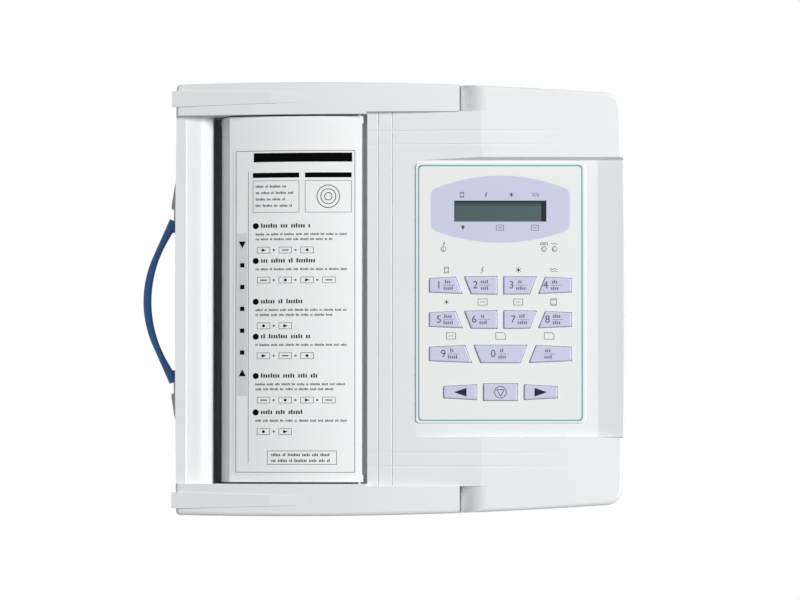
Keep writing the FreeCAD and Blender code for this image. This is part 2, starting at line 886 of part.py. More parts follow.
def make_lower_case():
    """Bottom shell: floor, walls, screw posts and connector panels."""
    shell = Piece("lower_case")
    base = dim.foot_height
    floor = base + dim.wall
    shell.pad("XY", base, dim.parting_height, case_outline(0 * dim.wall))
    shell.pocket("XY", floor, dim.parting_height, case_outline(dim.wall))
    right_end = number(dim.case_width) * 0.9
    shell.round_edges(dim.right_corner_radius, lambda e: upright(e) and e.CenterOfMass.x > right_end)
    shell.round_edges(dim.left_corner_radius, lambda e: upright(e) and e.CenterOfMass.x < 5)
    shell.round_edges(dim.base_radius, lambda e: e.BoundBox.ZMax < number(base) + 1e-3, "Chamfer")
    posts = [Disc(x, y, dim.post_radius) for x, y in post_places]
    shell.pad("XY", base + dim.wall / 2, dim.parting_height, *posts)
    holes = [Disc(x, y, dim.screw_radius + dim.free_gap) for x, y in post_places]
    shell.pocket("XY", base - dim.wall, dim.parting_height + dim.wall, *holes)
    pits = [Disc(x, y, dim.screw_head_radius + dim.free_gap) for x, y in post_places]
    shell.pocket("XY", base - dim.wall, base + dim.screw_pit, *pits)
    sockets = [Disc(x, y, dim.foot_radius) for x, y in foot_places()]
    shell.pocket("XY", base - dim.wall, base + dim.foot_socket, *sockets)
    standoffs = [Disc(x, y, dim.standoff_radius) for x, y in board_posts()]
    shell.pad("XY", floor - dim.wall / 2, dim.board_height, *standoffs)
    add_rear_panel(shell)
    add_patient_panel(shell)
    cut_battery_bay(shell)
    slot_x = (dim.supply_left + dim.supply_right) / 2
    slot_y = (dim.supply_front + dim.supply_rear) / 2
    count = DRIVING["slot_count"]
    slots = []
    for i in range(count):
        x = slot_x + (i - (count - 1) / 2) * dim.slot_pitch
        slots.append(
            rectangle(
                x - dim.slot_width / 2,
                slot_y - dim.slot_length / 2,
                x + dim.slot_width / 2,
                slot_y + dim.slot_length / 2,
            )
        )
    shell.pocket("XY", base - dim.wall, floor + dim.wall / 4, *slots)
    return shell


def foot_places():
    xs = (dim.foot_inset_x, dim.case_width - dim.foot_inset_x)
    y = dim.case_depth / 2 - dim.foot_inset_y
    return [(x, side * y) for x in xs for side in (1, -1)]


def board_posts():
    inset = dim.standoff_inset
    main = [
        (x, side * (dim.main_board_half - inset))
        for x in (dim.main_board_left + inset, dim.main_board_right - inset)
        for side in (1, -1)
    ]
    front_end = [
        (x, side * (dim.input_board_half - inset))
        for x in (dim.input_board_left + inset, dim.input_board_right - inset)
        for side in (1, -1)
    ]
    return main + front_end


def add_rear_panel(shell):
    """A flat panel set into the rear wall for the sockets and the switch."""
    low = dim.connector_height - dim.connector_panel_half
    high = dim.connector_height + dim.connector_panel_half
    margin = dim.wall
    inside = dim.rear_panel - dim.wall
    left, right = dim.rear_panel_left, dim.rear_panel_right
    rear_right, rear_left = case_outline(dim.wall / 2)[2:]
    bow = rear_right.radius
    bow_x, bow_y = arc_centre((rear_left.u, rear_left.v), (rear_right.u, rear_right.v), bow)
    near, far = left - margin, right + margin
    near_y = bow_y + root(bow * bow - (near - bow_x) * (near - bow_x))
    far_y = bow_y + root(bow * bow - (far - bow_x) * (far - bow_x))
    block = [(near, inside), (far, inside), Bend(far, far_y, bow, False), (near, near_y)]
    shell.pad("XY", low - margin, high + margin, block)
    shell.pocket("XZ", dim.rear_panel, outside, rectangle(left, low, right, high))
    z = dim.connector_height
    openings = [
        rectangle(
            dim.inlet_x - dim.inlet_width / 2,
            z - dim.inlet_depth / 2,
            dim.inlet_x + dim.inlet_width / 2,
            z + dim.inlet_depth / 2,
        ),
        rectangle(
            dim.switch_x - dim.switch_width / 2,
            z - dim.switch_tall / 2,
            dim.switch_x + dim.switch_width / 2,
            z + dim.switch_tall / 2,
        ),
        Disc(dim.stud_x, z, dim.stud_radius),
        rectangle(
            dim.serial_x - dim.serial_shell_width / 2,
            z - dim.serial_shell_height / 2,
            dim.serial_x + dim.serial_shell_width / 2,
            z + dim.serial_shell_height / 2,
        ),
    ]
    shell.pocket("XZ", inside - dim.wall, dim.rear_panel + dim.wall, *openings)


def add_patient_panel(shell):
    """A flat panel set into the right wall for the patient lead socket."""
    half = dim.patient_panel_half
    low = dim.connector_height - dim.connector_panel_half
    high = dim.connector_height + dim.connector_panel_half
    inside = dim.patient_seat - dim.wall
    far = dim.case_width + dim.wall
    margin = dim.wall
    block = rectangle(-half - margin, low - margin, half + margin, high + margin)
    shell.pad("YZ", inside, dim.case_width - dim.right_bow, block)
    shell.pocket("YZ", dim.patient_seat, far, rectangle(-half, low, half, high))
    hole = rectangle(
        -dim.patient_shell_width / 2,
        dim.connector_height - dim.serial_shell_height / 2,
        dim.patient_shell_width / 2,
        dim.connector_height + dim.serial_shell_height / 2,
    )
    shell.pocket("YZ", inside - dim.wall, dim.patient_seat + dim.wall, hole)


def battery_door_plan(margin):
    return rectangle(
        dim.battery_left - margin,
        -dim.battery_front - margin,
        dim.battery_right + margin,
        -dim.battery_rear + margin,
    )


def cut_battery_bay(shell):
    """A stepped opening in the floor that the battery door closes."""
    base = dim.foot_height
    margin = dim.battery_door_margin
    shell.pocket("XY", base - dim.wall, base + dim.wall / 2, battery_door_plan(margin + dim.free_gap))
    inner = battery_door_plan(margin - dim.battery_door_ledge + dim.free_gap)
    shell.pocket("XY", base - dim.wall, base + 2 * dim.wall, inner)


def make_battery():
    """Rechargeable pack and the door under it."""
    base = dim.foot_height
    margin = dim.battery_door_margin
    door = Piece("battery_door")
    door.pad("XY", base, base + dim.wall / 2, battery_door_plan(margin))
    door.pad(
        "XY",
        base + dim.wall / 4,
        base + dim.wall,
        battery_door_plan(margin - dim.battery_door_ledge),
    )
    grip = rectangle(
        dim.battery_left,
        -dim.battery_rear - 2 * dim.wall,
        dim.battery_right,
        -dim.battery_rear - dim.wall,
    )
    door.pocket("XY", base - dim.wall, base + dim.wall / 4, grip)
    pack = Piece("battery_pack")
    floor = base + dim.wall
    pack.pad("XY", floor, floor + dim.battery_height, battery_door_plan(0 * dim.wall))
    pack.round_edges(dim.wall, lambda e: e.BoundBox.YLength < 1e-3 and e.BoundBox.ZLength < 1e-3)


def make_feet_and_screws():
    feet = Piece("rubber_feet")
    top = dim.foot_height + dim.foot_socket
    feet.pad("XY", 0 * dim.wall, top, *[Disc(x, y, dim.foot_radius) for x, y in foot_places()])
    feet.round_edges(dim.foot_socket, lambda e: e.BoundBox.ZMax < 1e-3)
    screws = Piece("case_screws")
    seat = dim.foot_height + dim.screw_pit
    heads = [Disc(x, y, dim.screw_head_radius) for x, y in post_places]
    screws.pad("XY", seat - dim.screw_head_height, seat, *heads)
    stems = [Disc(x, y, dim.screw_radius) for x, y in post_places]
    screws.pad("XY", seat - dim.screw_head_height / 2, seat + dim.screw_length, *stems)
    arm = dim.screw_head_radius * 0.7
    thin = dim.screw_head_radius * 0.18
    for wide, deep in ((arm, thin), (thin, arm)):
        crosses = [rectangle(x - wide, y - deep, x + wide, y + deep) for x, y in post_places]
        low = seat - dim.screw_head_height
        screws.pocket("XY", low - dim.wall, low + dim.screw_head_height / 2, *crosses)


def make_handle():
    """Strap bent in the middle, with straight ends and a knuckle on each bracket's pin."""
    handle = Piece("handle")
    low = dim.handle_height - dim.handle_width / 2
    half = dim.handle_half
    pivot = -dim.pivot_offset
    bend, slant = dim.handle_bend, dim.handle_slant
    outer_x = bend * (1 - cosine(slant)) - dim.handle_reach
    outer_y = bend * sine(slant)
    end_x = outer_x + (half - outer_y) * sine(slant) / cosine(slant)
    inner_bend, inner_slant = dim.handle_inner_bend, dim.handle_inner_slant
    inner_x = inner_bend * (1 - cosine(inner_slant)) - dim.handle_reach + dim.handle_thickness
    inner_y = inner_bend * sine(inner_slant)
    root_y = inner_y + (pivot - inner_x) * cosine(inner_slant) / sine(inner_slant)
    end_y = half - dim.handle_end_cut
    handle.pad(
        "XY",
        low,
        low + dim.handle_width,
        [
            (pivot, end_y),
            (end_x, half),
            Bend(outer_x, outer_y, bend, False),
            (outer_x, -outer_y),
            (end_x, -half),
            (pivot, -end_y),
            (pivot, -root_y),
            Bend(inner_x, -inner_y, inner_bend, True),
            (inner_x, inner_y),
            (pivot, root_y),
        ],
    )
    handle.round_edges(
        dim.handle_round,
        lambda e: e.BoundBox.YLength > number(dim.knuckle_length) and e.BoundBox.ZLength < 1e-3,
    )
    knuckle = Disc(pivot, dim.handle_height, dim.knuckle_radius)
    inner = end_y - dim.knuckle_length
    handle.pad("XZ", inner, end_y, knuckle)
    handle.pad("XZ", -end_y, -inner, knuckle)
    bore = Disc(pivot, dim.handle_height, dim.pivot_radius + dim.running_gap)
    handle.pocket("XZ", inner - dim.wall, half + dim.wall, bore)
    handle.pocket("XZ", -half - dim.wall, -inner + dim.wall, bore)
    make_brackets(Disc(pivot, dim.handle_height, dim.pivot_radius), inner)


def make_brackets(pin, inner):
    """Two ears on the left wall, each with the pin of one knuckle moulded on."""
    brackets = Piece("handle_brackets")
    side_y = dim.case_depth / 2 - dim.left_corner_inset
    bow = bow_radius(0 * dim.wall, 2 * side_y, dim.left_bow)
    start, end = dim.ear_start, dim.ear_end
    start_x = bow - root(bow * bow - start * start)
    end_x = bow - root(bow * bow - end * end)
    corner = start + dim.ear_flat
    reach = -dim.ear_reach
    tip = reach + dim.ear_taper
    rear = [(start_x, start), (reach, start), (reach, corner), (tip, end), Bend(end_x, end, bow, False)]
    front = [Bend(start_x, -start, bow, False), (end_x, -end), (tip, -end), (reach, -corner), (reach, -start)]
    low = dim.handle_height - dim.ear_width / 2
    brackets.pad("XY", low, low + dim.ear_width, rear, front)
    brackets.pad("XZ", inner, corner, pin)
    brackets.pad("XZ", -corner, -inner, pin)


def door_arc(lift):
    """The two ends of the door's top, raised by lift, and the radius between them."""
    chord_x = dim.door_right - dim.door_left
    chord_z = dim.door_right_height - dim.door_left_height
    length = root(chord_x * chord_x + chord_z * chord_z)
    across_x = -chord_z / length * lift
    across_z = chord_x / length * lift
    left = (dim.door_left + across_x, dim.door_left_height + across_z)
    right = (dim.door_right + across_x, dim.door_right_height + across_z)
    return left, right, dim.door_radius


def door_top(x):
    """Height of the door's outer face at x, after the centre of its arc."""
    left, right, radius = door_arc(0 * dim.wall)
    centre_x, centre_z = arc_centre(left, right, radius)
    return centre_x, centre_z, root(radius * radius - (x - centre_x) * (x - centre_x)) + centre_z


def make_printer_door():
    """Paper door: curved top, steep front lip and two cheeks that carry the platen."""
    door = Piece("printer_door")
    thick = dim.door_thickness
    half = dim.rail_wall - dim.door_end_gap
    (left, left_z), (right, right_z), radius = door_arc(0 * dim.wall)
    shell = [
        (dim.door_lip_x, dim.door_lip_height),
        (dim.door_lip_x + thick, dim.door_lip_height),
        Bend(left + thick, left_z - thick, radius - thick, True),
        (right, right_z - thick),
        Bend(right, right_z, radius, False),
        (left, left_z),
    ]
    door.pad("XZ", -half, half, shell)
    corner = number(left_z) - 0.5
    door.round_edges(
        dim.door_thickness / 2,
        lambda e: e.BoundBox.YLength > number(half) and e.BoundBox.ZLength < 1e-3
        and e.BoundBox.ZMin > corner and e.BoundBox.XMin < number(left) + 1e-3,
    )
    cheek_inner = dim.cheek_outer - dim.cheek_thickness
    px, pz, pr = dim.platen_x, dim.platen_height, dim.cheek_radius
    cheek = [
        (px - pr, pz),
        (px + pr, pz),
        (px + 3 * pr, left_z - thick / 2),
        (left + thick / 2, left_z - thick / 2),
        (dim.door_lip_x + thick / 2, dim.door_lip_height + thick / 4),
    ]
    hinge = Disc(dim.hinge_x, dim.hinge_height, dim.hinge_boss)
    eye = Disc(px, pz, pr)
    bush_hole = Disc(px, pz, dim.bush_radius)
    pin_hole = Disc(dim.hinge_x, dim.hinge_height, dim.hinge_radius + dim.running_gap)
    for side in (1, -1):
        low, high = sorted((side * cheek_inner, side * dim.cheek_outer), key=number)
        door.pad("XZ", low, high, cheek)
        door.pad("XZ", low, high, eye)
        door.pocket("XZ", low - dim.wall, high + dim.wall, bush_hole)
        knuckle_low, knuckle_high = sorted((side * (half - 2 * thick), side * half), key=number)
        door.pad("XZ", knuckle_low, knuckle_high, hinge)
        door.pocket("XZ", knuckle_low - dim.wall, knuckle_high + dim.wall, pin_hole)
    pins = Piece("door_hinge_pins")
    pin = Disc(dim.hinge_x, dim.hinge_height, dim.hinge_radius)
    inner = half - 2 * thick
    outer = dim.rail_wall + dim.hinge_boss_length - dim.wall / 2
    pins.pad("XZ", inner, outer, pin)
    pins.pad("XZ", -outer, -inner, pin)
    make_door_label(radius)


def make_door_label(radius):
    """Printed instruction sheet stuck to the top of the door."""
    label = Piece("door_label")
    thin = dim.label_thickness
    _, _, left_z = door_top(dim.label_left)
    _, _, right_z = door_top(dim.label_right)
    label.pad(
        "XZ",
        -dim.label_front,
        dim.label_rear,
        [
            Bend(dim.label_left, left_z, radius, True),
            (dim.label_right, right_z),
            Bend(dim.label_right, right_z + thin, radius + thin, False),
            (dim.label_left, left_z + thin),
        ],
    )


def gear_outline(teeth, turn):
    """Corners of an involute spur gear in the XZ plane, flanks in three straight facets."""
    module = DRIVING["gear_module"]
    pitch = module * teeth / 2
    base = pitch * math.cos(math.radians(20))
    tip = pitch + 0.9 * module
    foot = pitch - 1.2 * module
    slack = DRIVING["gear_backlash"] / (2 * pitch)

    def roll_angle(radius):
        ratio = min(base / radius, 1.0)
        bend = math.acos(ratio)
        return math.tan(bend) - bend

    half_tooth = math.pi / (2 * teeth) + roll_angle(pitch) - slack
    start = max(base, foot)
    radii = [start + (tip - start) * step / 3 for step in range(4)]
    corners = []
    for i in range(teeth):
        middle = turn + 2 * math.pi * i / teeth
        flank = [(r, half_tooth - roll_angle(r)) for r in radii]
        rising = [(foot, -half_tooth)] + [(r, -a) for r, a in flank]
        falling = [(r, a) for r, a in reversed(flank)] + [(foot, half_tooth)]
        corners += [(r * math.cos(middle + a), r * math.sin(middle + a)) for r, a in rising + falling]
    return corners


def gear_blank(teeth, turn, centre, bore, low, width):
    """A spur gear about an axis along Y, with a plain bore."""
    x, z = centre
    corners = [FreeCAD.Vector(x + u, low, z + v) for u, v in gear_outline(teeth, turn)]
    face = Part.Face(Part.makePolygon(corners + corners[:1]))
    blank = face.extrude(FreeCAD.Vector(0, width, 0))
    hole = Part.makeCylinder(bore, width, FreeCAD.Vector(x, low, z), FreeCAD.Vector(0, 1, 0))
    return blank.cut(hole)


def gear_train():
    """Centres of the three gears and the turns that let their teeth mesh at rest."""
    module, spread = DRIVING["gear_module"], DRIVING["gear_spread"]
    counts = [DRIVING[name] for name in ("platen_teeth", "idler_teeth", "pinion_teeth")]
    directions = [math.radians(DRIVING[name]) for name in ("idler_angle", "pinion_angle")]
    centres = [(DRIVING["platen_x"], DRIVING["platen_height"])]
    turns = [directions[0]]
    for first, second, way in zip(counts, counts[1:], directions):
        reach = module * (first + second) / 2 + spread
        x, z = centres[-1]
        centres.append((x + reach * math.cos(way), z + reach * math.sin(way)))
        pitch = 2 * math.pi / first
        nearest = turns[-1] + round((way - turns[-1]) / pitch) * pitch
        turns.append(way + math.pi - math.pi / second - first / second * (nearest - way))
    return counts, centres, turns


def solid_piece(label, shape):
    """A sub-part whose shape no sketch gives, at the same placement as the others."""
    item = doc.addObject("Part::Feature", label)
    item.Label = label
    item.Shape = shape
    item.setExpression("Placement.Base.x", formula((dim.handle_reach - dim.case_width) / 2))
    pieces.append(item)
    return item


def make_feed_train():
    """Platen with its gear on the door, then idler, pinion and motor on the tray."""
    counts, centres, turns = gear_train()
    px, pz = dim.platen_x, dim.platen_height
    shaft = Piece("platen_shaft")
    gear_end = dim.gear_side + dim.gear_width
    shaft.pad("XZ", -dim.cheek_outer - dim.wall / 2, gear_end, Disc(px, pz, dim.shaft_radius))
    rubber = Piece("platen_rubber")
    rubber.pad("XZ", -dim.platen_half, dim.platen_half, Disc(px, pz, dim.platen_radius))
    rubber.pocket("XZ", -outside, outside, Disc(px, pz, dim.shaft_radius))
    bushes = Piece("platen_bushes")
    for side in (1, -1):
        cheek_inner = dim.cheek_outer - dim.cheek_thickness
        low, high = sorted((side * cheek_inner, side * dim.cheek_outer), key=number)
        bushes.pad("XZ", low, high, Disc(px, pz, dim.bush_radius))
    bushes.pocket("XZ", -outside, outside, Disc(px, pz, dim.shaft_radius + dim.running_gap))
    side, width = DRIVING["gear_side"], DRIVING["gear_width"]
    names = ("platen_gear", "idler_gear", "motor_pinion")
    idler_bore = DRIVING["axle_radius"] + DRIVING["running_gap"]
    bores = (DRIVING["shaft_radius"], idler_bore, DRIVING["motor_shaft_radius"])
    for name, teeth, centre, turn, bore in zip(names, counts, centres, turns, bores):
        solid_piece(name, gear_blank(teeth, turn, centre, bore, side, width))
    make_motor()


def polar(start, reach, angle):
    """The place that lies reach away from start, at an angle in degrees."""
    x, z = start
    return x + reach * cosine(angle), z + reach * sine(angle)


def gear_places():
    """Where the idler and the motor sit, as formulas."""
    first = dim.gear_module * (dim.platen_teeth + dim.idler_teeth) / 2 + dim.gear_spread
    second = dim.gear_module * (dim.idler_teeth + dim.pinion_teeth) / 2 + dim.gear_spread
    idler = polar((dim.platen_x, dim.platen_height), first, dim.idler_angle)
    return idler, polar(idler, second, dim.pinion_angle)


def make_motor():
    (idler_x, idler_z), (motor_x, motor_z) = gear_places()
    axle = Piece("idler_axle")
    tray_out = dim.tray_end + dim.tray_wall
    axle.pad("XZ", dim.gear_side, tray_out, Disc(idler_x, idler_z, dim.axle_radius))
    shaft = Piece("motor_shaft")
    shaft.pad("XZ", dim.gear_side, tray_out + dim.wall, Disc(motor_x, motor_z, dim.motor_shaft_radius))
    motor = Piece("feed_motor")
    motor.pad("XZ", tray_out, tray_out + dim.motor_length, Disc(motor_x, motor_z, dim.motor_radius))
    motor.round_edges(dim.foot_socket, lambda e: e.BoundBox.YMin > number(tray_out) + 1)
    bore = Disc(motor_x, motor_z, dim.motor_shaft_radius + dim.running_gap)
    motor.pocket("XZ", tray_out - dim.wall, tray_out + dim.wall + dim.running_gap * 4, bore)


def make_print_head():
    """Heater strip on its heat sink, rocking on trunnions over a leaf spring."""
    top = dim.platen_height - dim.platen_radius - dim.head_gap
    sink_top = top - dim.head_thickness
    sink_low = sink_top - dim.sink_thickness
    strip_left = dim.platen_x - dim.head_width / 2
    half = dim.head_half
    strip = Piece("print_head")
    strip.pad(
        "XY", sink_top, top, rectangle(strip_left, -half, strip_left + dim.head_width, half)
    )
    sink = Piece("head_heatsink")
    sink.pad("XY", sink_low, sink_top, rectangle(dim.sink_left, -half, dim.sink_right, half))
    fin = dim.spring_thickness * 2
    fins = []
    for i in range(1, 4):
        x = dim.sink_left + (dim.sink_right - dim.sink_left) * i / 6
        fins.append(rectangle(x - fin / 2, -half, x + fin / 2, half))
    sink.pocket("XY", sink_low, sink_low + dim.sink_thickness / 3, *fins)
    axis_x, axis_z = trunnion_axis()
    end = half + dim.trunnion_length
    sink.pad("XZ", -end, end, Disc(axis_x, axis_z, dim.trunnion_radius))
    spring = Piece("head_spring")
    floor = dim.tray_floor + dim.tray_wall
    crest = sink_low - dim.spring_gap
    thin = dim.spring_thickness
    left, right = dim.sink_left + thin, dim.sink_right - thin
    middle = (left + right) / 2
    blade = [
        (left, floor),
        (left + dim.sink_thickness, floor),
        (middle + thin, crest - thin),
        (right, crest - thin),
        (right, crest),
        (middle, crest),
        (left + dim.sink_thickness - thin, floor + thin),
        (left, floor + thin),
    ]
    for side in (1, -1):
        centre = side * half * 0.6
        spring.pad("XZ", centre - dim.spring_width / 2, centre + dim.spring_width / 2, blade)


def trunnion_axis():
    top = dim.platen_height - dim.platen_radius - dim.head_gap - dim.head_thickness
    return dim.sink_right - dim.trunnion_radius, top - dim.sink_thickness / 2


def make_tray():
    """Moulded tub for the roll, with holders for the spindle and the head."""
    tray = Piece("printer_tray")
    wall = dim.tray_wall
    rim = dim.parting_height - dim.tray_rim_gap
    right = dim.frame_left + dim.wall
    end = dim.tray_end
    low = dim.tray_floor
    floor = low + wall
    tray.pad("XY", low, rim, rectangle(dim.tray_left, -end - wall, right, end + wall))
    tray.pocket("XY", floor, rim, rectangle(dim.tray_left + wall, -end, right - wall, end))
    feet_low = dim.foot_height + dim.wall
    ribs = [
        rectangle(dim.tray_left, y - wall / 2, right, y + wall / 2)
        for y in (-end / 2, 0 * end, end / 2)
    ]
    tray.pad("XY", feet_low, low + wall / 2, *ribs)
    half = dim.holder_width / 2
    thick = dim.holder_thickness
    inner = dim.roll_half + dim.free_gap + dim.wall
    slot = dim.spindle_radius + dim.running_gap
    for side in (1, -1):
        near, far = sorted((side * inner, side * (inner + thick)), key=number)
        tray.pad(
            "XZ",
            near,
            far,
            rectangle(dim.roll_x - half, low + wall / 2, dim.roll_x + half, rim),
        )
        tray.pocket(
            "XZ",
            near - wall / 2,
            far + wall / 2,
            [
                Bend(dim.roll_x - slot, dim.roll_height, slot, False),
                Bend(dim.roll_x, dim.roll_height - slot, slot, False),
                (dim.roll_x + slot, dim.roll_height),
                (dim.roll_x + slot, rim + wall),
                (dim.roll_x - slot, rim + wall),
            ],
        )
    axis_x, axis_z = trunnion_axis()
    bearing = dim.trunnion_radius + dim.running_gap
    for side in (1, -1):
        near, far = sorted(
            (side * (dim.head_half + dim.free_gap), side * (dim.head_half + dim.trunnion_length)),
            key=number,
        )
        post = rectangle(axis_x - 2 * bearing, low + wall / 2, axis_x + 2 * bearing, axis_z + 2 * bearing)
        tray.pad("XZ", near, far, post)
        tray.pocket("XZ", near - wall / 2, far + wall / 2, Disc(axis_x, axis_z, bearing))
    idler, motor = gear_places()
    holes = [
        Disc(idler[0], idler[1], dim.axle_radius),
        Disc(motor[0], motor[1], dim.motor_shaft_radius + dim.free_gap),
    ]
    tray.pocket("XZ", end - wall / 2, end + 2 * wall, *holes)
    make_saddles(floor)


def make_saddles(floor):
    """Two steel plates in which the closed platen's shaft rests."""
    saddles = Piece("platen_saddles")
    px, pz = dim.platen_x, dim.platen_height
    half = dim.saddle_width / 2
    cradle = dim.shaft_radius + dim.running_gap * 2
    for side in (1, -1):
        near, far = sorted(
            (side * dim.saddle_side, side * (dim.saddle_side + dim.saddle_thickness)), key=number
        )
        saddles.pad(
            "XZ",
            near,
            far,
            [
                (px - half, floor),
                (px + half, floor),
                (px + half, pz),
                Bend(px + cradle, pz, cradle, True),
                Bend(px, pz - cradle, cradle, True),
                (px - cradle, pz),
                (px - half, pz),
            ],
        )


def make_paper():
    """A full roll on its core, turning on a spindle with two flanges."""
    x, z, half = dim.roll_x, dim.roll_height, dim.roll_half
    roll = Piece("paper_roll")
    roll.pad("XZ", -half, half, Disc(x, z, dim.roll_radius))
    roll.pocket("XZ", -outside, outside, Disc(x, z, dim.core_radius))
    core = Piece("paper_core")
    core.pad("XZ", -half, half, Disc(x, z, dim.core_radius))
    core.pocket("XZ", -outside, outside, Disc(x, z, dim.core_bore))
    spindle = Piece("roll_spindle")
    spindle.pad("XZ", -half, half, Disc(x, z, dim.core_bore))
    flange = Disc(x, z, dim.spindle_flange)
    thick = dim.wall - dim.free_gap
    spindle.pad("XZ", half, half + thick, flange)
    spindle.pad("XZ", -half - thick, -half, flange)
    end = half + dim.free_gap + dim.wall + dim.holder_thickness
    spindle.pad("XZ", -end, end, Disc(x, z, dim.spindle_radius))


def crown(x):
    """Half height of a key row at x from the middle of the panel."""
    share = x / dim.key_field
    return dim.key_half_height - dim.key_crown * share * share


def key_plan(left_top, left_low, right_top, right_low, row, grow, half=crown):
    """A key as a quadrilateral about its row, grown outwards on every side."""
    centre = dim.panel_centre
    return [
        (centre + left_low - grow, row - half(left_low) - grow),
        (centre + right_low + grow, row - half(right_low) - grow),
        (centre + right_top + grow, row + half(right_top) + grow),
        (centre + left_top - grow, row + half(left_top) + grow),
    ]


def arrow_half(x):
    return dim.arrow_half_height - dim.key_crown * (x * x) / (dim.arrow_outer * dim.arrow_outer)


def stop_half(x):
    return dim.arrow_half_height + dim.key_retain_gap * 2 + 0 * x


def key_corners():
    """Every key's name with the corner places that key_plan takes."""
    slant = dim.key_slant
    plans = {}
    for row, names in enumerate((("1", "2", "3", "4"), ("5", "6", "7", "8"))):
        y = dim.row_one - row * dim.row_pitch
        outer = (-dim.key_field, -dim.key_field, -dim.key_split_outer, slant - dim.key_split_outer)
        inner = (-dim.key_split_inner, slant - dim.key_split_inner, -dim.key_middle_gap, -dim.key_middle_gap)
        sides = [outer, inner] + [(-b, -d, -a, -c) for a, c, b, d in (inner, outer)]
        for name, side in zip(names, sides):
            plans[f"key_{name}"] = (*side, y, crown)
    y = dim.row_one - 2 * dim.row_pitch
    nine = (-dim.key_field, -dim.key_field, -dim.wide_split_outer, slant - dim.wide_split_outer)
    zero = (-dim.wide_split_inner, slant - dim.wide_split_inner)
    plans["key_9"] = (*nine, y, crown)
    plans["key_0"] = (*zero, -zero[0], -zero[1], y, crown)
    plans["key_escape"] = (-nine[2], -nine[3], -nine[0], -nine[1], y, crown)
    y = dim.row_four
    plans["key_left"] = (
        -dim.arrow_outer, -dim.arrow_outer, -dim.arrow_inner, -dim.arrow_inner, y, arrow_half)
    plans["key_stop"] = (-dim.stop_half, -dim.stop_half, dim.stop_half, dim.stop_half, y, stop_half)
    plans["key_right"] = (
        dim.arrow_inner, dim.arrow_inner, dim.arrow_outer, dim.arrow_outer, y, arrow_half)
    return plans


def make_keys():
    """Fourteen moulded keys, each held from below by its own flange."""
    top = dim.panel_floor + dim.overlay_thickness + dim.key_rise
    flange_top = dim.panel_floor - dim.key_retain_gap
    flange_low = flange_top - dim.key_flange_thickness
    for name, (a, b, c, d, row, half) in key_corners().items():
        key = Piece(name)
        key.pad("XY", flange_low, top, key_plan(a, b, c, d, row, 0 * dim.wall, half))
        crest = number(top) - 1e-3
        key.round_edges(dim.key_round, upright)
        key.round_edges(dim.key_round, lambda e: e.BoundBox.ZMin > crest)
        key.pad("XY", flange_low, flange_top, key_plan(a, b, c, d, row, dim.key_flange, half))
        middle = dim.panel_centre + (a + d) / 2
        stem = dim.key_half_height / 3
        key.pad(
            "XY",
            flange_low - dim.key_stem_depth,
            flange_low + dim.key_flange_thickness / 2,
            rectangle(middle - stem, row - stem, middle + stem, row + stem),
        )


def make_overlay():
    """Printed plate over the panel, cut out for the keys, the display and the lamps."""
    overlay = Piece("keypad_overlay")
    half_x, half_y = dim.overlay_width / 2, dim.overlay_depth / 2
    low, high = dim.panel_floor, dim.panel_floor + dim.overlay_thickness
    plan = rectangle(
        dim.panel_centre - half_x,
        dim.overlay_centre - half_y,
        dim.panel_centre + half_x,
        dim.overlay_centre + half_y,
    )
    overlay.pad("XY", low, high, plan)
    overlay.round_edges(dim.overlay_radius, upright)
    holes = [
        key_plan(a, b, c, d, row, dim.free_gap, half) for a, b, c, d, row, half in key_corners().values()
    ]
    holes.append(window_plan(dim.free_gap / 3))
    holes += [Disc(x, dim.lamp_row, dim.lamp_radius + dim.running_gap) for x in lamp_places]
    overlay.pocket("XY", low - dim.wall, high, *holes)


def window_plan(grow):
    half_x = dim.lcd_window_width / 2 + grow
    half_y = dim.lcd_window_depth / 2 + grow
    return rectangle(
        dim.panel_centre - half_x,
        dim.lcd_centre_y - half_y,
        dim.panel_centre + half_x,
        dim.lcd_centre_y + half_y,
    )


def centred(width, depth):
    return rectangle(
        dim.panel_centre - width / 2,
        dim.lcd_centre_y - depth / 2,
        dim.panel_centre + width / 2,
        dim.lcd_centre_y + depth / 2,
    )


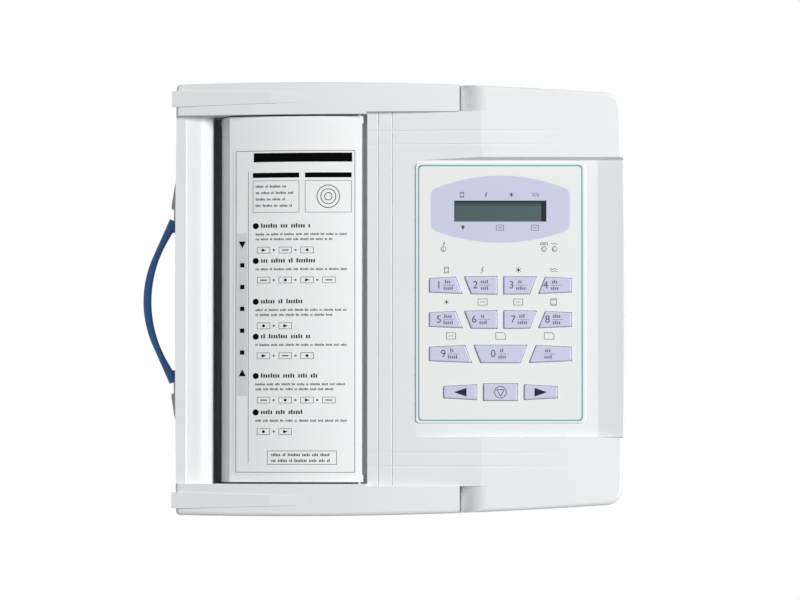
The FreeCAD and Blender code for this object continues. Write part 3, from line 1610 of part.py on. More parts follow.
def make_panel_electronics():
    """Rubber sheet and board under the keys, the display module and the lamps."""
    board = Piece("key_board")
    plan = rectangle(
        dim.panel_centre - dim.key_board_half,
        -dim.key_board_front,
        dim.panel_centre + dim.key_board_half,
        dim.key_board_rear,
    )
    board.pad("XY", key_board_top - dim.board_thickness, key_board_top, plan)
    sheet_piece = Piece("keypad_sheet")
    margin = dim.key_flange
    area = rectangle(
        dim.panel_centre - dim.key_opening_half + margin,
        -dim.key_opening_front + margin,
        dim.panel_centre + dim.key_opening_half - margin,
        dim.key_opening_rear - margin,
    )
    sheet_piece.pad("XY", key_board_top, key_board_top + dim.sheet_thickness, area)
    window = Piece("lcd_window")
    window.pad("XY", dim.panel_floor, dim.panel_floor + dim.lcd_window_thickness, window_plan(0 * dim.wall))
    frame = Piece("lcd_frame")
    frame_top = dim.panel_floor - dim.key_retain_gap
    frame.pad("XY", lcd_board_top, frame_top, centred(dim.lcd_frame_width, dim.lcd_frame_depth))
    inner = 2 * dim.lcd_frame_wall
    glass_width = dim.lcd_frame_width - inner
    glass_depth = dim.lcd_frame_depth - inner
    frame.pocket("XY", lcd_board_top, frame_top - dim.lcd_frame_wall, centred(glass_width, glass_depth))
    frame.pocket("XY", lcd_board_top, frame_top, window_plan(dim.free_gap))
    glass = Piece("lcd_glass")
    glass_top = frame_top - dim.lcd_frame_wall
    glass.pad("XY", glass_top - dim.lcd_glass_thickness, glass_top, centred(glass_width, glass_depth))
    lcd_board = Piece("lcd_board")
    lcd_board.pad(
        "XY",
        lcd_board_top - dim.board_thickness,
        lcd_board_top,
        centred(dim.lcd_board_width, dim.lcd_board_depth),
    )
    lamps = Piece("status_lamps")
    high = dim.panel_floor + dim.overlay_thickness + dim.lamp_rise
    lamps.pad("XY", key_board_top, high, *[Disc(x, dim.lamp_row, dim.lamp_radius) for x in lamp_places])
    lamps.round_edges(dim.lamp_radius / 2, lambda e: e.BoundBox.ZMin > number(high) - 1e-3)


def make_boards():
    """Main board, patient input board, supply box and the ribbon to the keys."""
    low, high = dim.board_height, dim.board_height + dim.board_thickness
    main = Piece("main_board")
    half = dim.main_board_half
    main.pad("XY", low, high, rectangle(dim.main_board_left, -half, dim.main_board_right, half))
    chip = dim.ribbon_width
    middle = (dim.main_board_left + dim.main_board_right) / 2 - chip / 2
    chips = [
        rectangle(middle - chip / 2, y - chip / 2, middle + chip / 2, y + chip / 2)
        for y in (-half / 2, half / 2)
    ]
    main.pad("XY", high - dim.board_thickness / 2, high + dim.board_thickness, *chips)
    front_end = Piece("input_board")
    half = dim.input_board_half
    front_end.pad("XY", low, high, rectangle(dim.input_board_left, -half, dim.input_board_right, half))
    shield = rectangle(
        dim.input_board_left + chip / 2, -half + chip / 2, dim.input_board_right - chip / 2, half - chip / 2
    )
    front_end.pad("XY", high - dim.board_thickness / 2, high + 3 * dim.board_thickness, shield)
    ribbon = Piece("ribbon_cable")
    thin = dim.ribbon_thickness
    under = key_board_top - dim.board_thickness
    ribbon.pad(
        "XY",
        high,
        under,
        rectangle(dim.ribbon_x, -dim.ribbon_width / 2, dim.ribbon_x + thin, dim.ribbon_width / 2),
    )
    supply = Piece("power_supply")
    floor = dim.foot_height + dim.wall
    box = rectangle(dim.supply_left, dim.supply_front, dim.supply_right, dim.supply_rear)
    supply.pad("XY", floor, floor + dim.supply_height, box)
    supply.round_edges(dim.wall, upright)


def make_connectors():
    """Mains inlet, switch, earth stud and data socket at the rear, lead socket at right."""
    z = dim.connector_height
    seat = dim.rear_panel
    inlet = Piece("mains_inlet")
    half_x, half_z = dim.inlet_width / 2, dim.inlet_depth / 2
    x, rim = dim.inlet_x, dim.inlet_flange_rim
    inlet.pad("XZ", seat - dim.inlet_length, seat, rectangle(x - half_x, z - half_z, x + half_x, z + half_z))
    flange = rectangle(x - half_x - rim, z - half_z - rim, x + half_x + rim, z + half_z + rim)
    inlet.pad("XZ", seat, seat + dim.inlet_flange, flange)
    well_x, well_z = dim.inlet_well_width / 2, dim.inlet_well_depth / 2
    well_low = seat + dim.inlet_flange - dim.inlet_well_length
    well_top = seat + dim.inlet_flange
    inlet.pocket("XZ", well_low, well_top, rectangle(x - well_x, z - well_z, x + well_x, z + well_z))
    blades = []
    for i in (-1, 0, 1):
        bx = x + i * dim.blade_spread
        bz = z + (1 - 2 * abs(i)) * dim.blade_width
        blades.append(
            rectangle(
                bx - dim.blade_width / 2,
                bz - dim.blade_height / 2,
                bx + dim.blade_width / 2,
                bz + dim.blade_height / 2,
            )
        )
    inlet.pad("XZ", well_low - dim.wall / 2, well_low + dim.blade_length, *blades)
    make_switch(seat, z)
    stud = Piece("earth_stud")
    inner = seat - dim.wall
    stud.pad("XZ", inner - dim.stud_nut_height, seat + dim.stud_length, Disc(dim.stud_x, z, dim.stud_radius))
    nut = Disc(dim.stud_x, z, dim.stud_nut_radius)
    stud.pad("XZ", seat, seat + dim.stud_nut_height, nut)
    stud.pad("XZ", inner - dim.stud_nut_height, inner, nut)
    make_d_socket(
        "serial_port", "XZ", dim.serial_x, seat, dim.serial_flange_width, dim.serial_shell_width
    )
    make_d_socket(
        "patient_socket",
        "YZ",
        0 * dim.wall,
        dim.patient_seat,
        dim.patient_flange_width,
        dim.patient_shell_width,
    )


def make_d_socket(name, plane, along_wall, seat, flange_width, shell_width):
    """D-shaped socket: flange on the wall, shell out of it, body inside."""
    socket = Piece(name)
    z = dim.connector_height
    half = flange_width / 2
    tall = dim.serial_flange_height / 2
    u = along_wall
    flange = rectangle(u - half, z - tall, u + half, z + tall)
    socket.pad(plane, seat, seat + dim.serial_flange, flange)
    wide, high = shell_width / 2, dim.serial_shell_height / 2
    slope = high / 4
    shell = [
        (u - wide + slope, z - high),
        (u + wide - slope, z - high),
        (u + wide, z + high),
        (u - wide, z + high),
    ]
    socket.pad(plane, seat - dim.wall - dim.serial_inside, seat + dim.serial_shell_reach, shell)


def make_switch(seat, z):
    """Rocker switch: a fixed housing and the rocker that tips in it."""
    housing = Piece("power_switch")
    x = dim.switch_x
    half_x, half_z = dim.switch_width / 2, dim.switch_tall / 2
    rim = dim.switch_rim
    front = seat + dim.switch_flange
    housing.pad(
        "XZ", seat - dim.switch_length, seat, rectangle(x - half_x, z - half_z, x + half_x, z + half_z)
    )
    housing.pad(
        "XZ",
        seat,
        front,
        rectangle(x - half_x - rim, z - half_z - rim, x + half_x + rim, z + half_z + rim),
    )
    inner_x, inner_z = half_x - rim / 2, half_z - rim / 2
    depth = dim.switch_length / 2
    housing.pocket(
        "XZ",
        seat - depth,
        front,
        rectangle(x - inner_x, z - inner_z, x + inner_x, z + inner_z),
    )
    pivot = seat - depth / 2
    pin = dim.rocker_pin_radius
    housing.pocket("YZ", x - half_x, x + half_x, Disc(pivot, z, pin + dim.running_gap))
    rocker = Piece("power_rocker")
    gap = dim.rocker_side_gap
    tip_z = inner_z - 4 * gap
    valley = front - dim.switch_flange / 2
    profile = [
        (pivot - gap * 4, z - tip_z + gap),
        (pivot - gap * 4, z + tip_z - gap),
        (front + dim.rocker_rise / 3, z + tip_z),
        (valley, z),
        (front + dim.rocker_rise / 3, z - tip_z),
    ]
    tilt = dim.rocker_tilt
    tipped = [
        (
            pivot + (u - pivot) * cosine(tilt) + (v - z) * sine(tilt),
            z + (v - z) * cosine(tilt) - (u - pivot) * sine(tilt),
        )
        for u, v in profile
    ]
    rocker.pad("YZ", x - inner_x + gap, x + inner_x - gap, tipped)
    rocker.pad("YZ", x - half_x, x + half_x, Disc(pivot, z, pin))


make_lower_case()
make_upper_case()
make_feet_and_screws()
make_battery()
make_handle()
make_printer_door()
make_feed_train()
make_print_head()
make_tray()
make_paper()
make_keys()
make_overlay()
make_panel_electronics()
make_boards()
make_connectors()
doc.recompute()

faults = [item.Name for item in doc.Objects if {"Invalid", "Error"} & set(item.State)]
for item in pieces:
    if item.Shape.isNull() or not item.Shape.isValid():
        faults.append(item.Label)
if faults:
    raise RuntimeError(f"these did not build: {', '.join(faults)}")

os.makedirs("parts", exist_ok=True)
for item in pieces:
    item.Shape.exportStep(f"parts/{item.Label}.step")
print(f"{len(pieces)} sub-parts written")
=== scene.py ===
import math

import bmesh
import bpy
from mathutils import Matrix, Vector
from mathutils.bvhtree import BVHTree


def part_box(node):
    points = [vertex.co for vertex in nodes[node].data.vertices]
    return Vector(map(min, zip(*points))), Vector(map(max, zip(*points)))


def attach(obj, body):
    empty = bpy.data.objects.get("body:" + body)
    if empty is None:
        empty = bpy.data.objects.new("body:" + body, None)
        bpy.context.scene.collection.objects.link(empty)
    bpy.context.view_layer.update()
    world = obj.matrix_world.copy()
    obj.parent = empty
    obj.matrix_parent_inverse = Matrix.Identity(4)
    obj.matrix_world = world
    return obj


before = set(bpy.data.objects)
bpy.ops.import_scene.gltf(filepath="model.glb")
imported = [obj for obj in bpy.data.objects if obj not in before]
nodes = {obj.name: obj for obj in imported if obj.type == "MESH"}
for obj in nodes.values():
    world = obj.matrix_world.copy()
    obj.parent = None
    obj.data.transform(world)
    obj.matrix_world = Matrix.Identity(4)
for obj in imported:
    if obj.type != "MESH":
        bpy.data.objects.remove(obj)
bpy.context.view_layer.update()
MM = 0.001


# The bottom shell is one injection moulding in pale ABS with a fine spark-eroded grain.
# The battery door in its floor comes from the same grade, and both are left unpainted.
# Grain and faint flow marks keep the large plain walls from looking like one flat tone.


class Wire:
    """One value in a material's node tree. Arithmetic on it adds Math nodes."""

    def __init__(self, tree, socket):
        self.tree = tree
        self.socket = socket

    def node(self, kind, settings=None, inputs=None, output=0):
        made = self.tree.nodes.new(kind)
        for key, value in (settings or {}).items():
            setattr(made, key, value)
        for key, value in (inputs or {}).items():
            if isinstance(value, Wire):
                self.tree.links.new(value.socket, made.inputs[key])
            else:
                made.inputs[key].default_value = value
        return Wire(self.tree, made.outputs[output])

    def math(self, operation, first, second=0.0):
        return self.node("ShaderNodeMath", {"operation": operation}, {0: first, 1: second})

    def __add__(self, other):
        return self.math("ADD", self, other)

    def __radd__(self, other):
        return self.math("ADD", other, self)

    def __sub__(self, other):
        return self.math("SUBTRACT", self, other)

    def __rsub__(self, other):
        return self.math("SUBTRACT", other, self)

    def __mul__(self, other):
        return self.math("MULTIPLY", self, other)

    def __rmul__(self, other):
        return self.math("MULTIPLY", other, self)

    def __gt__(self, other):
        return self.math("GREATER_THAN", self, other)

    def __lt__(self, other):
        return self.math("LESS_THAN", self, other)

    def blend(self, low, high):
        """A colour that runs from low to high as this value runs from 0 to 1."""
        return self.node(
            "ShaderNodeMix", {"data_type": "RGBA"}, {0: self, 6: low, 7: high}, output=2
        )


def new_finish(name):
    """An empty material: its node tree's first wire (object place) and its shader."""
    material = bpy.data.materials.new(name)
    material.use_nodes = True
    tree = material.node_tree
    shader = tree.nodes["Principled BSDF"]
    place = Wire(tree, tree.nodes.new("ShaderNodeTexCoord").outputs["Object"])
    return material, place, shader


def feed(shader, socket, wire):
    wire.tree.links.new(wire.socket, shader.inputs[socket])


def tone(colour, factor):
    return (*[min(1.0, c * factor) for c in colour], 1.0)


def moulded(
    name, colour, roughness, grain=0.00003, grain_size=0.0007, mottle=0.035, coat=0.0, sheen=0.5
):
    """Moulded plastic or rubber: a mottled colour, uneven gloss and a fine raised grain."""
    material, place, shader = new_finish(name)
    flow = place.node("ShaderNodeTexNoise", None, {"Vector": place, "Scale": 22.0, "Detail": 3.0})
    fine = place.node(
        "ShaderNodeTexNoise", None, {"Vector": place, "Scale": 1 / grain_size, "Detail": 2.0}
    )
    share = flow * 0.7 + fine * 0.3
    feed(shader, "Base Color", share.blend(tone(colour, 1 - mottle), tone(colour, 1 + mottle)))
    feed(shader, "Roughness", flow * 0.12 + (roughness - 0.06))
    bump = place.node("ShaderNodeBump", None, {"Strength": 0.35, "Distance": grain, "Height": fine})
    feed(shader, "Normal", bump)
    shader.inputs["Coat Weight"].default_value = coat
    shader.inputs["Specular IOR Level"].default_value = sheen
    return material


def dress(material, *names, smooth=30.0):
    """Give CAD nodes a finish and shade their curved faces smoothly."""
    for name in names:
        piece = nodes[name]
        piece.data.materials.clear()
        piece.data.materials.append(material)
        piece.data.shade_smooth()
        piece.data.set_sharp_from_angle(angle=math.radians(smooth))


base_plastic = moulded("base_plastic", (0.72, 0.735, 0.74), 0.5)
dress(base_plastic, "lower_case", "battery_door")


# Four moulded rubber feet sit in shallow sockets of the floor, and six zinc-plated screws
# in deep pits draw the two shells together from below.


def brushed(name, colour, roughness, metallic=1.0, streak=260.0, direction=(1.0, 0.06, 1.0)):
    """Machined or plated metal with fine streaks along the axis that direction leaves low."""
    material, place, shader = new_finish(name)
    stretched = place.node(
        "ShaderNodeVectorMath", {"operation": "MULTIPLY"}, {0: place, 1: direction}
    )
    lines = place.node(
        "ShaderNodeTexNoise", None, {"Vector": stretched, "Scale": streak, "Detail": 4.0}
    )
    feed(shader, "Base Color", lines.blend(tone(colour, 0.86), tone(colour, 1.12)))
    feed(shader, "Roughness", lines * 0.2 + (roughness - 0.1))
    shader.inputs["Metallic"].default_value = metallic
    return material


foot_rubber = moulded("foot_rubber", (0.045, 0.045, 0.048), 0.8, grain=0.00008, mottle=0.2)
zinc_plate = brushed("zinc_plate", (0.62, 0.63, 0.65), 0.34)
dress(foot_rubber, "rubber_feet")
dress(zinc_plate, "case_screws")


# The sockets stand in a flat panel at the rear and one at the right. The mains inlet and
# the switch are black nylon, the earth stud plated brass, and the data and patient sockets
# plated steel shells about a dark insulator.

black_nylon = moulded("black_nylon", (0.018, 0.018, 0.02), 0.38, mottle=0.15)
stud_brass = brushed("stud_brass", (0.74, 0.56, 0.28), 0.3)
dress(black_nylon, "mains_inlet", "power_switch", "power_rocker")
dress(stud_brass, "earth_stud")
contact_pitch = 2.77 * MM
contact_rise = 1.42 * MM
contact_radius = 0.6 * MM
shell_rim = 1.1 * MM
shell_half_height = 4.2 * MM
shell_lean = 0.125
face_depth = 0.2 * MM
insulator_black = (0.02, 0.02, 0.024, 1.0)
contact_gilt = (0.78, 0.6, 0.28, 1.0)


def lead_socket(name, steel, node, out_axis, half_width, upper_count):
    """Plated shell whose outer face holds a dark insulator with two rows of gilt contacts."""
    material, place, shader = new_finish(name)
    low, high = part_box(node)
    middle = (low + high) / 2
    across_axis = 1 - out_axis
    axes = place.node("ShaderNodeSeparateXYZ", None, {0: place}).socket.node.outputs
    across = Wire(place.tree, axes[across_axis]) - middle[across_axis]
    up = Wire(place.tree, axes["Z"]) - middle.z
    apart = place.math("ABSOLUTE", across)
    face = Wire(place.tree, axes[out_axis]) > high[out_axis] - face_depth
    inside = apart - up * shell_lean < half_width - shell_rim
    level = place.math("ABSOLUTE", up) < shell_half_height - shell_rim
    insulator = face * inside * level

    def contact_row(height, count):
        shift = 0.5 if count % 2 else 0.0
        side = (place.math("FRACT", across * (1 / contact_pitch) + shift) - 0.5) * contact_pitch
        tone_with_painted_rear_shade = up - height
        near = side * side + tone_with_painted_rear_shade * tone_with_painted_rear_shade < contact_radius**2
        return near * (apart < count / 2 * contact_pitch)

    rows = contact_row(contact_rise, upper_count) + contact_row(-contact_rise, upper_count - 1)
    contacts = insulator * rows
    flow = place.node("ShaderNodeTexNoise", None, {"Vector": place, "Scale": 90.0, "Detail": 3.0})
    shell = flow.blend(tone(steel, 0.94), tone(steel, 1.04))
    dark = insulator.blend(shell, insulator_black)
    feed(shader, "Base Color", contacts.blend(dark, contact_gilt))
    feed(shader, "Metallic", 1.0 - insulator + contacts)
    feed(shader, "Roughness", flow * 0.12 + insulator * 0.15 + 0.27)
    return material


steel_grey = (0.62, 0.63, 0.65)
serial_half_width = 7.975 * MM
patient_half_width = 12.075 * MM
serial_steel = lead_socket("serial_steel", steel_grey, "serial_port", 1, serial_half_width, 5)
patient_steel = lead_socket(
    "patient_steel", steel_grey, "patient_socket", 0, patient_half_width, 8
)
dress(serial_steel, "serial_port")
dress(patient_steel, "patient_socket")


# Boards in green solder mask, a folded metal supply box and a wrapped battery pack fill
# the lower shell. A grey ribbon runs up to the board under the keys.


def circuit(name, colour):
    """Solder mask over copper: lighter tracks in a square net under a glossy green."""
    material, place, shader = new_finish(name)
    tracks = place.node(
        "ShaderNodeTexBrick",
        {"offset": 0.35, "squash": 1.0},
        {
            "Vector": place, "Scale": 140.0, "Mortar Size": 0.035,
            "Brick Width": 0.9, "Row Height": 0.42,
        },
        output=1,
    )
    feed(shader, "Base Color", tracks.blend(tone(colour, 1.0), tone(colour, 1.9)))
    feed(shader, "Roughness", tracks * 0.2 + 0.25)
    return material


solder_mask = circuit("solder_mask", (0.02, 0.16, 0.06))
supply_sheet = brushed("supply_sheet", (0.66, 0.67, 0.69), 0.4, direction=(0.05, 1.0, 1.0))
battery_wrap = moulded("battery_wrap", (0.05, 0.07, 0.14), 0.3, grain=0.00012, grain_size=0.004)
ribbon_grey = moulded("ribbon_grey", (0.32, 0.32, 0.33), 0.5)
dress(solder_mask, "main_board", "input_board", "key_board", "lcd_board")
dress(supply_sheet, "power_supply", "lcd_frame")
dress(battery_wrap, "battery_pack")
dress(ribbon_grey, "ribbon_cable")


# The printer sits in a pale moulded tub. Its thermal head is a glazed ceramic strip on an
# extruded heat sink, over two leaf springs, and steel saddles carry the closed platen.

tub_plastic = moulded("tub_plastic", (0.88, 0.89, 0.895), 0.55, mottle=0.03)
head_ceramic = moulded("head_ceramic", (0.66, 0.62, 0.55), 0.18, grain=0.000005)
sink_metal = brushed("sink_metal", (0.7, 0.71, 0.73), 0.38)
spring_steel = brushed("spring_steel", (0.5, 0.51, 0.53), 0.28)
dress(tub_plastic, "printer_tray")
dress(head_ceramic, "print_head")
dress(sink_metal, "head_heatsink")
dress(spring_steel, "head_spring", "platen_saddles", "idler_axle", "motor_shaft")


# A small motor in a plated can drives the platen through moulded white gears and a brass
# pinion. The platen's bushes are moulded in the same white resin.

gear_resin = moulded("gear_resin", (0.8, 0.79, 0.74), 0.42)
dress(gear_resin, "idler_gear", "platen_gear", "platen_bushes", smooth=12.0)
dress(stud_brass, "motor_pinion", smooth=12.0)
dress(zinc_plate, "feed_motor")


# The paper roll is white thermal paper on a card core. Its ends show the edges of the
# turns, and a pale spindle with two flanges carries it.


def wound_paper(name, colour, centre_x, centre_z):
    """Thermal paper: faint rings of turns about the roll's own axis."""
    material, place, shader = new_finish(name)
    apart = place.node("ShaderNodeSeparateXYZ", None, {0: place})
    along = Wire(place.tree, apart.socket.node.outputs["X"]) - centre_x
    up = Wire(place.tree, apart.socket.node.outputs["Z"]) - centre_z
    radius = place.math("SQRT", along * along + up * up)
    turns = place.math("FRACT", radius * 1400.0)
    feed(shader, "Base Color", turns.blend(tone(colour, 0.93), tone(colour, 1.03)))
    feed(shader, "Roughness", turns * 0.1 + 0.5)
    return material


roll_low, roll_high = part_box("paper_roll")
roll_middle = (roll_low + roll_high) / 2
paper_white = wound_paper("paper_white", (0.86, 0.85, 0.83), roll_middle.x, roll_middle.z)
core_card = moulded("core_card", (0.42, 0.31, 0.19), 0.8, grain=0.00006)
dress(paper_white, "paper_roll")
dress(core_card, "paper_core")
dress(tub_plastic, "roll_spindle")


# The top shell is moulded in the same pale grade as the bottom, a shade lighter. The frame,
# rails and paper guide are one piece with it.

shell_plastic = moulded("shell_plastic", (0.84, 0.852, 0.862), 0.46)
dress(shell_plastic, "upper_case")


# The plate over the panel is a printed polyester skin in a pale greenish white, with a
# teal keyline inside its edge and a lavender lens about the display.


class Ink:
    """Printed marks on one surface, each a thin closed slab that follows its height."""

    def __init__(self, surface, low=-0.00002, high=0.00004):
        self.surface = surface
        self.low = low
        self.high = high
        self.bm = bmesh.new()

    def ring_of(self, points, lift):
        return [self.bm.verts.new((x, y, self.surface(x, y) + lift)) for x, y in points]

    def slab(self, points):
        """A filled outline, given anticlockwise in metres."""
        under = self.ring_of(points, self.low)
        over = self.ring_of(points, self.high)
        self.bm.faces.new(over)
        self.bm.faces.new(under[::-1])
        self.walls(under, over)

    def walls(self, under, over):
        count = len(under)
        for i in range(count):
            j = (i + 1) % count
            self.bm.faces.new((under[i], under[j], over[j], over[i]))

    def bar(self, x0, y0, x1, y1, step=0.004):
        """A rectangle cut into short lengths along X so that it can follow a curve."""
        count = max(1, math.ceil((x1 - x0) / step))
        xs = [x0 + (x1 - x0) * i / count for i in range(count + 1)]
        sides = []
        for lift in (self.low, self.high):
            front = self.ring_of([(x, y0) for x in xs], lift)
            rear = self.ring_of([(x, y1) for x in xs], lift)
            sides.append((front, rear))
        (low_front, low_rear), (high_front, high_rear) = sides
        for i in range(count):
            self.bm.faces.new((high_front[i], high_front[i + 1], high_rear[i + 1], high_rear[i]))
            self.bm.faces.new((low_rear[i], low_rear[i + 1], low_front[i + 1], low_front[i]))
            self.bm.faces.new((low_front[i], low_front[i + 1], high_front[i + 1], high_front[i]))
            self.bm.faces.new((high_rear[i], high_rear[i + 1], low_rear[i + 1], low_rear[i]))
        self.bm.faces.new((low_front[0], high_front[0], high_rear[0], low_rear[0]))
        self.bm.faces.new((high_front[-1], low_front[-1], low_rear[-1], high_rear[-1]))

    def band(self, outer, inner):
        """The strip between two closed outlines with as many points each."""
        rings = [self.ring_of(p, lift) for p, lift in
                 ((outer, self.low), (outer, self.high), (inner, self.high), (inner, self.low))]
        count = len(outer)
        for first, second in zip(rings, rings[1:] + rings[:1]):
            for i in range(count):
                j = (i + 1) % count
                self.bm.faces.new((first[i], first[j], second[j], second[i]))

    def disc(self, x, y, radius, count=24):
        self.slab(circle(x, y, radius, count))

    def hoop(self, x, y, radius, width, count=32):
        self.band(circle(x, y, radius, count), circle(x, y, radius - width, count))

    def frame_of(self, x0, y0, x1, y1, width):
        self.bar(x0, y0, x1, y0 + width)
        self.bar(x0, y1 - width, x1, y1)
        self.bar(x0, y0 + width, x0 + width, y1 - width)
        self.bar(x1 - width, y0 + width, x1, y1 - width)

    def stroke(self, points, width):
        """A line of straight runs, each its own slab."""
        for (x0, y0), (x1, y1) in zip(points, points[1:]):
            length = math.hypot(x1 - x0, y1 - y0)
            nx, ny = -(y1 - y0) / length * width / 2, (x1 - x0) / length * width / 2
            near = [(x0 - nx, y0 - ny), (x1 - nx, y1 - ny)]
            far = [(x1 + nx, y1 + ny), (x0 + nx, y0 + ny)]
            self.slab(near + far)

    def ticks(self, x, y, width, size, turn, groups=(4, 7, 3, 6, 2, 8, 5)):
        """One row of small upright bars in groups, in place of a line of words."""
        end = x + width
        while x < end:
            for i in range(groups[turn % len(groups)]):
                if x > end:
                    break
                tall = size * (1.3 if (i + turn) % 4 == 1 else 1.0)
                self.bar(x, y, x + size * 0.42, y + tall)
                x += size * 0.72
            x += size * 0.9
            turn += 1

    def figure(self, text, x, y, height):
        """Plain upright figures, centred on a place."""
        curve = bpy.data.curves.new("figure", "FONT")
        curve.body = text
        curve.align_x, curve.align_y = "CENTER", "CENTER"
        curve.size = height * 1.4
        curve.extrude = (self.high - self.low) / 2
        curve.resolution_u = 4
        holder = bpy.data.objects.new("figure", curve)
        mesh = holder.to_mesh()
        middle = self.surface(x, y) + (self.low + self.high) / 2
        mesh.transform(Matrix.Translation((x, y, middle)))
        self.bm.from_mesh(mesh)
        holder.to_mesh_clear()
        bpy.data.objects.remove(holder)
        bpy.data.curves.remove(curve)

    def done(self, name, material, body):
        bmesh.ops.remove_doubles(self.bm, verts=self.bm.verts, dist=1e-7)
        bmesh.ops.recalc_face_normals(self.bm, faces=self.bm.faces)
        mesh = bpy.data.meshes.new(name)
        self.bm.to_mesh(mesh)
        self.bm.free()
        mesh.materials.append(material)
        piece = bpy.data.objects.new(name, mesh)
        bpy.context.scene.collection.objects.link(piece)
        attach(piece, body)
        return piece


def circle(x, y, radius, count):
    angles = [2 * math.pi * i / count for i in range(count)]
    return [(x + radius * math.cos(a), y + radius * math.sin(a)) for a in angles]


def rounded(x0, y0, x1, y1, radius, count=8):
    """A rectangle with round corners, anticlockwise."""
    points = []
    for cx, cy, start in (
        (x1 - radius, y0 + radius, -90), (x1 - radius, y1 - radius, 0),
        (x0 + radius, y1 - radius, 90), (x0 + radius, y0 + radius, 180),
    ):
        for i in range(count + 1):
            angle = math.radians(start + 90 * i / count)
            points.append((cx + radius * math.cos(angle), cy + radius * math.sin(angle)))
    return points


plate_skin = moulded("plate_skin", (0.83, 0.865, 0.84), 0.3, grain=0.00001, mottle=0.015, coat=0.2)
dress(plate_skin, "keypad_overlay")
plate_low, plate_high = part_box("keypad_overlay")
plate_x, plate_y = (plate_low.x + plate_high.x) / 2, (plate_low.y + plate_high.y) / 2


def on_plate(x, y):
    return plate_high.z


keyline_inset = 1.5 * MM
keyline_width = 0.8 * MM
keyline_radius = 2.6 * MM
teal_ink = moulded("teal_ink", (0.09, 0.33, 0.42), 0.35, grain=0.000005)
keyline = Ink(on_plate)
edges = (plate_low.x, plate_low.y, plate_high.x, plate_high.y)


def inset_loop(inset):
    x0, y0, x1, y1 = edges
    return rounded(x0 + inset, y0 + inset, x1 - inset, y1 - inset, keyline_radius)


keyline.band(inset_loop(keyline_inset), inset_loop(keyline_inset + keyline_width))
keyline.done("plate_keyline", teal_ink, "case")


# The lens is a lavender print with straight sides and arched top and bottom. Small dark
# pictograms stand in a row above the display, below it, over the lamps and over the keys.

lens_half_width = 47.6 * MM
lens_shoulder_low, lens_shoulder_high = 43.6 * MM, 70.3 * MM
lens_foot, lens_crest = 34.3 * MM, 80.3 * MM
lens_corner = 3.4 * MM
lens_steps = 28
corner_steps = 8


def arch(crest, shoulder, way):
    """Points of one arched edge with soft corners, right to left at the top, back at the bottom."""
    tone_with_painted_rear_shade = abs(crest - shoulder)
    radius = (lens_half_width**2 + tone_with_painted_rear_shade**2) / (2 * tone_with_painted_rear_shade)
    flat = lens_half_width - lens_corner

    def edge(x):
        return crest - way * (radius - math.sqrt(radius**2 - x**2))

    corner = []
    for i in range(corner_steps):
        t = i / corner_steps
        x = lens_half_width * (1 - t * t) + flat * t * t
        start = (shoulder - way * lens_corner) * (1 - t) ** 2
        y = start + shoulder * 2 * t * (1 - t) + edge(flat) * t * t
        corner.append((x, y))
    across = [flat * (1 - 2 * i / lens_steps) for i in range(lens_steps + 1)]
    run = [(x, edge(x)) for x in across]
    loop = corner + run + [(-x, y) for x, y in reversed(corner)]
    return [(plate_x + way * x, plate_y + y) for x, y in loop]


lavender_ink = moulded("lavender_ink", (0.60, 0.62, 0.78), 0.32, grain=0.000005, mottle=0.02)
grey_ink = moulded("grey_ink", (0.09, 0.10, 0.13), 0.45, grain=0.000005, mottle=0.08, sheen=0.1)
navy_ink = moulded("navy_ink", (0.012, 0.026, 0.05), 0.45, grain=0.000005, mottle=0.08, sheen=0.1)
window_low, window_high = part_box("lcd_window")
window_gap = 0.1 * MM
x0, y0 = window_low.x - window_gap, window_low.y - window_gap
x1, y1 = window_high.x + window_gap, window_high.y + window_gap
left_edge, right_edge = plate_x - lens_half_width, plate_x + lens_half_width
lens = Ink(on_plate, high=0.00003)
rear_line = [(left_edge, y1), (x0, y1), (x1, y1), (right_edge, y1)]
front_line = [(right_edge, y0), (x1, y0), (x0, y0), (left_edge, y0)]
lens.slab(rear_line + arch(lens_crest, lens_shoulder_high, 1))
lens.slab(front_line + arch(lens_foot, lens_shoulder_low, -1))
lens.slab([(left_edge, y0), (x0, y0), (x0, y1), (left_edge, y1)])
lens.slab([(x1, y0), (right_edge, y0), (right_edge, y1), (x1, y1)])
lens.done("display_lens", lavender_ink, "case")

marks = Ink(on_plate, high=0.00006)
line = 0.34 * MM


def at_plate(x, y):
    return plate_x + x * MM, plate_y + y * MM


def tile_mark(x, y, width=6.6, height=4.6):
    """An outlined tile with a short rule in it."""
    cx, cy = at_plate(x, y)
    w, h = width * MM / 2, height * MM / 2
    marks.frame_of(cx - w, cy - h, cx + w, cy + h, line)
    marks.bar(cx - w / 2, cy - line / 2, cx + w / 2, cy + line / 2)


def wave_mark(x, y, width=5.4, height=1.5):
    """Two level waves, one over the other."""
    for lift in (0.5, -0.5):
        cx, cy = at_plate(x, y + lift * height)
        count = 12
        run = [
            (cx + width * MM * (i / count - 0.5), cy + 0.4 * MM * math.sin(i / count * 4 * math.pi))
            for i in range(count + 1)
        ]
        marks.stroke(run, line)


def ladder_mark(x, y, width=3.2, height=4.4):
    """A narrow frame with rungs."""
    cx, cy = at_plate(x, y)
    w, h = width * MM / 2, height * MM / 2
    marks.frame_of(cx - w, cy - h, cx + w, cy + h, line)
    for rung in (-0.3, 0.3):
        marks.bar(cx - w, cy + rung * 2 * h - line / 2, cx + w, cy + rung * 2 * h + line / 2)


def star_mark(x, y, size=4.2):
    """Crossed strokes with a dot in the middle."""
    cx, cy = at_plate(x, y)
    r = size * MM / 2
    for angle in (30, 90, 150):
        dx, dy = r * math.cos(math.radians(angle)), r * math.sin(math.radians(angle))
        marks.stroke([(cx - dx, cy - dy), (cx + dx, cy + dy)], line)
    marks.disc(cx, cy, r * 0.35)


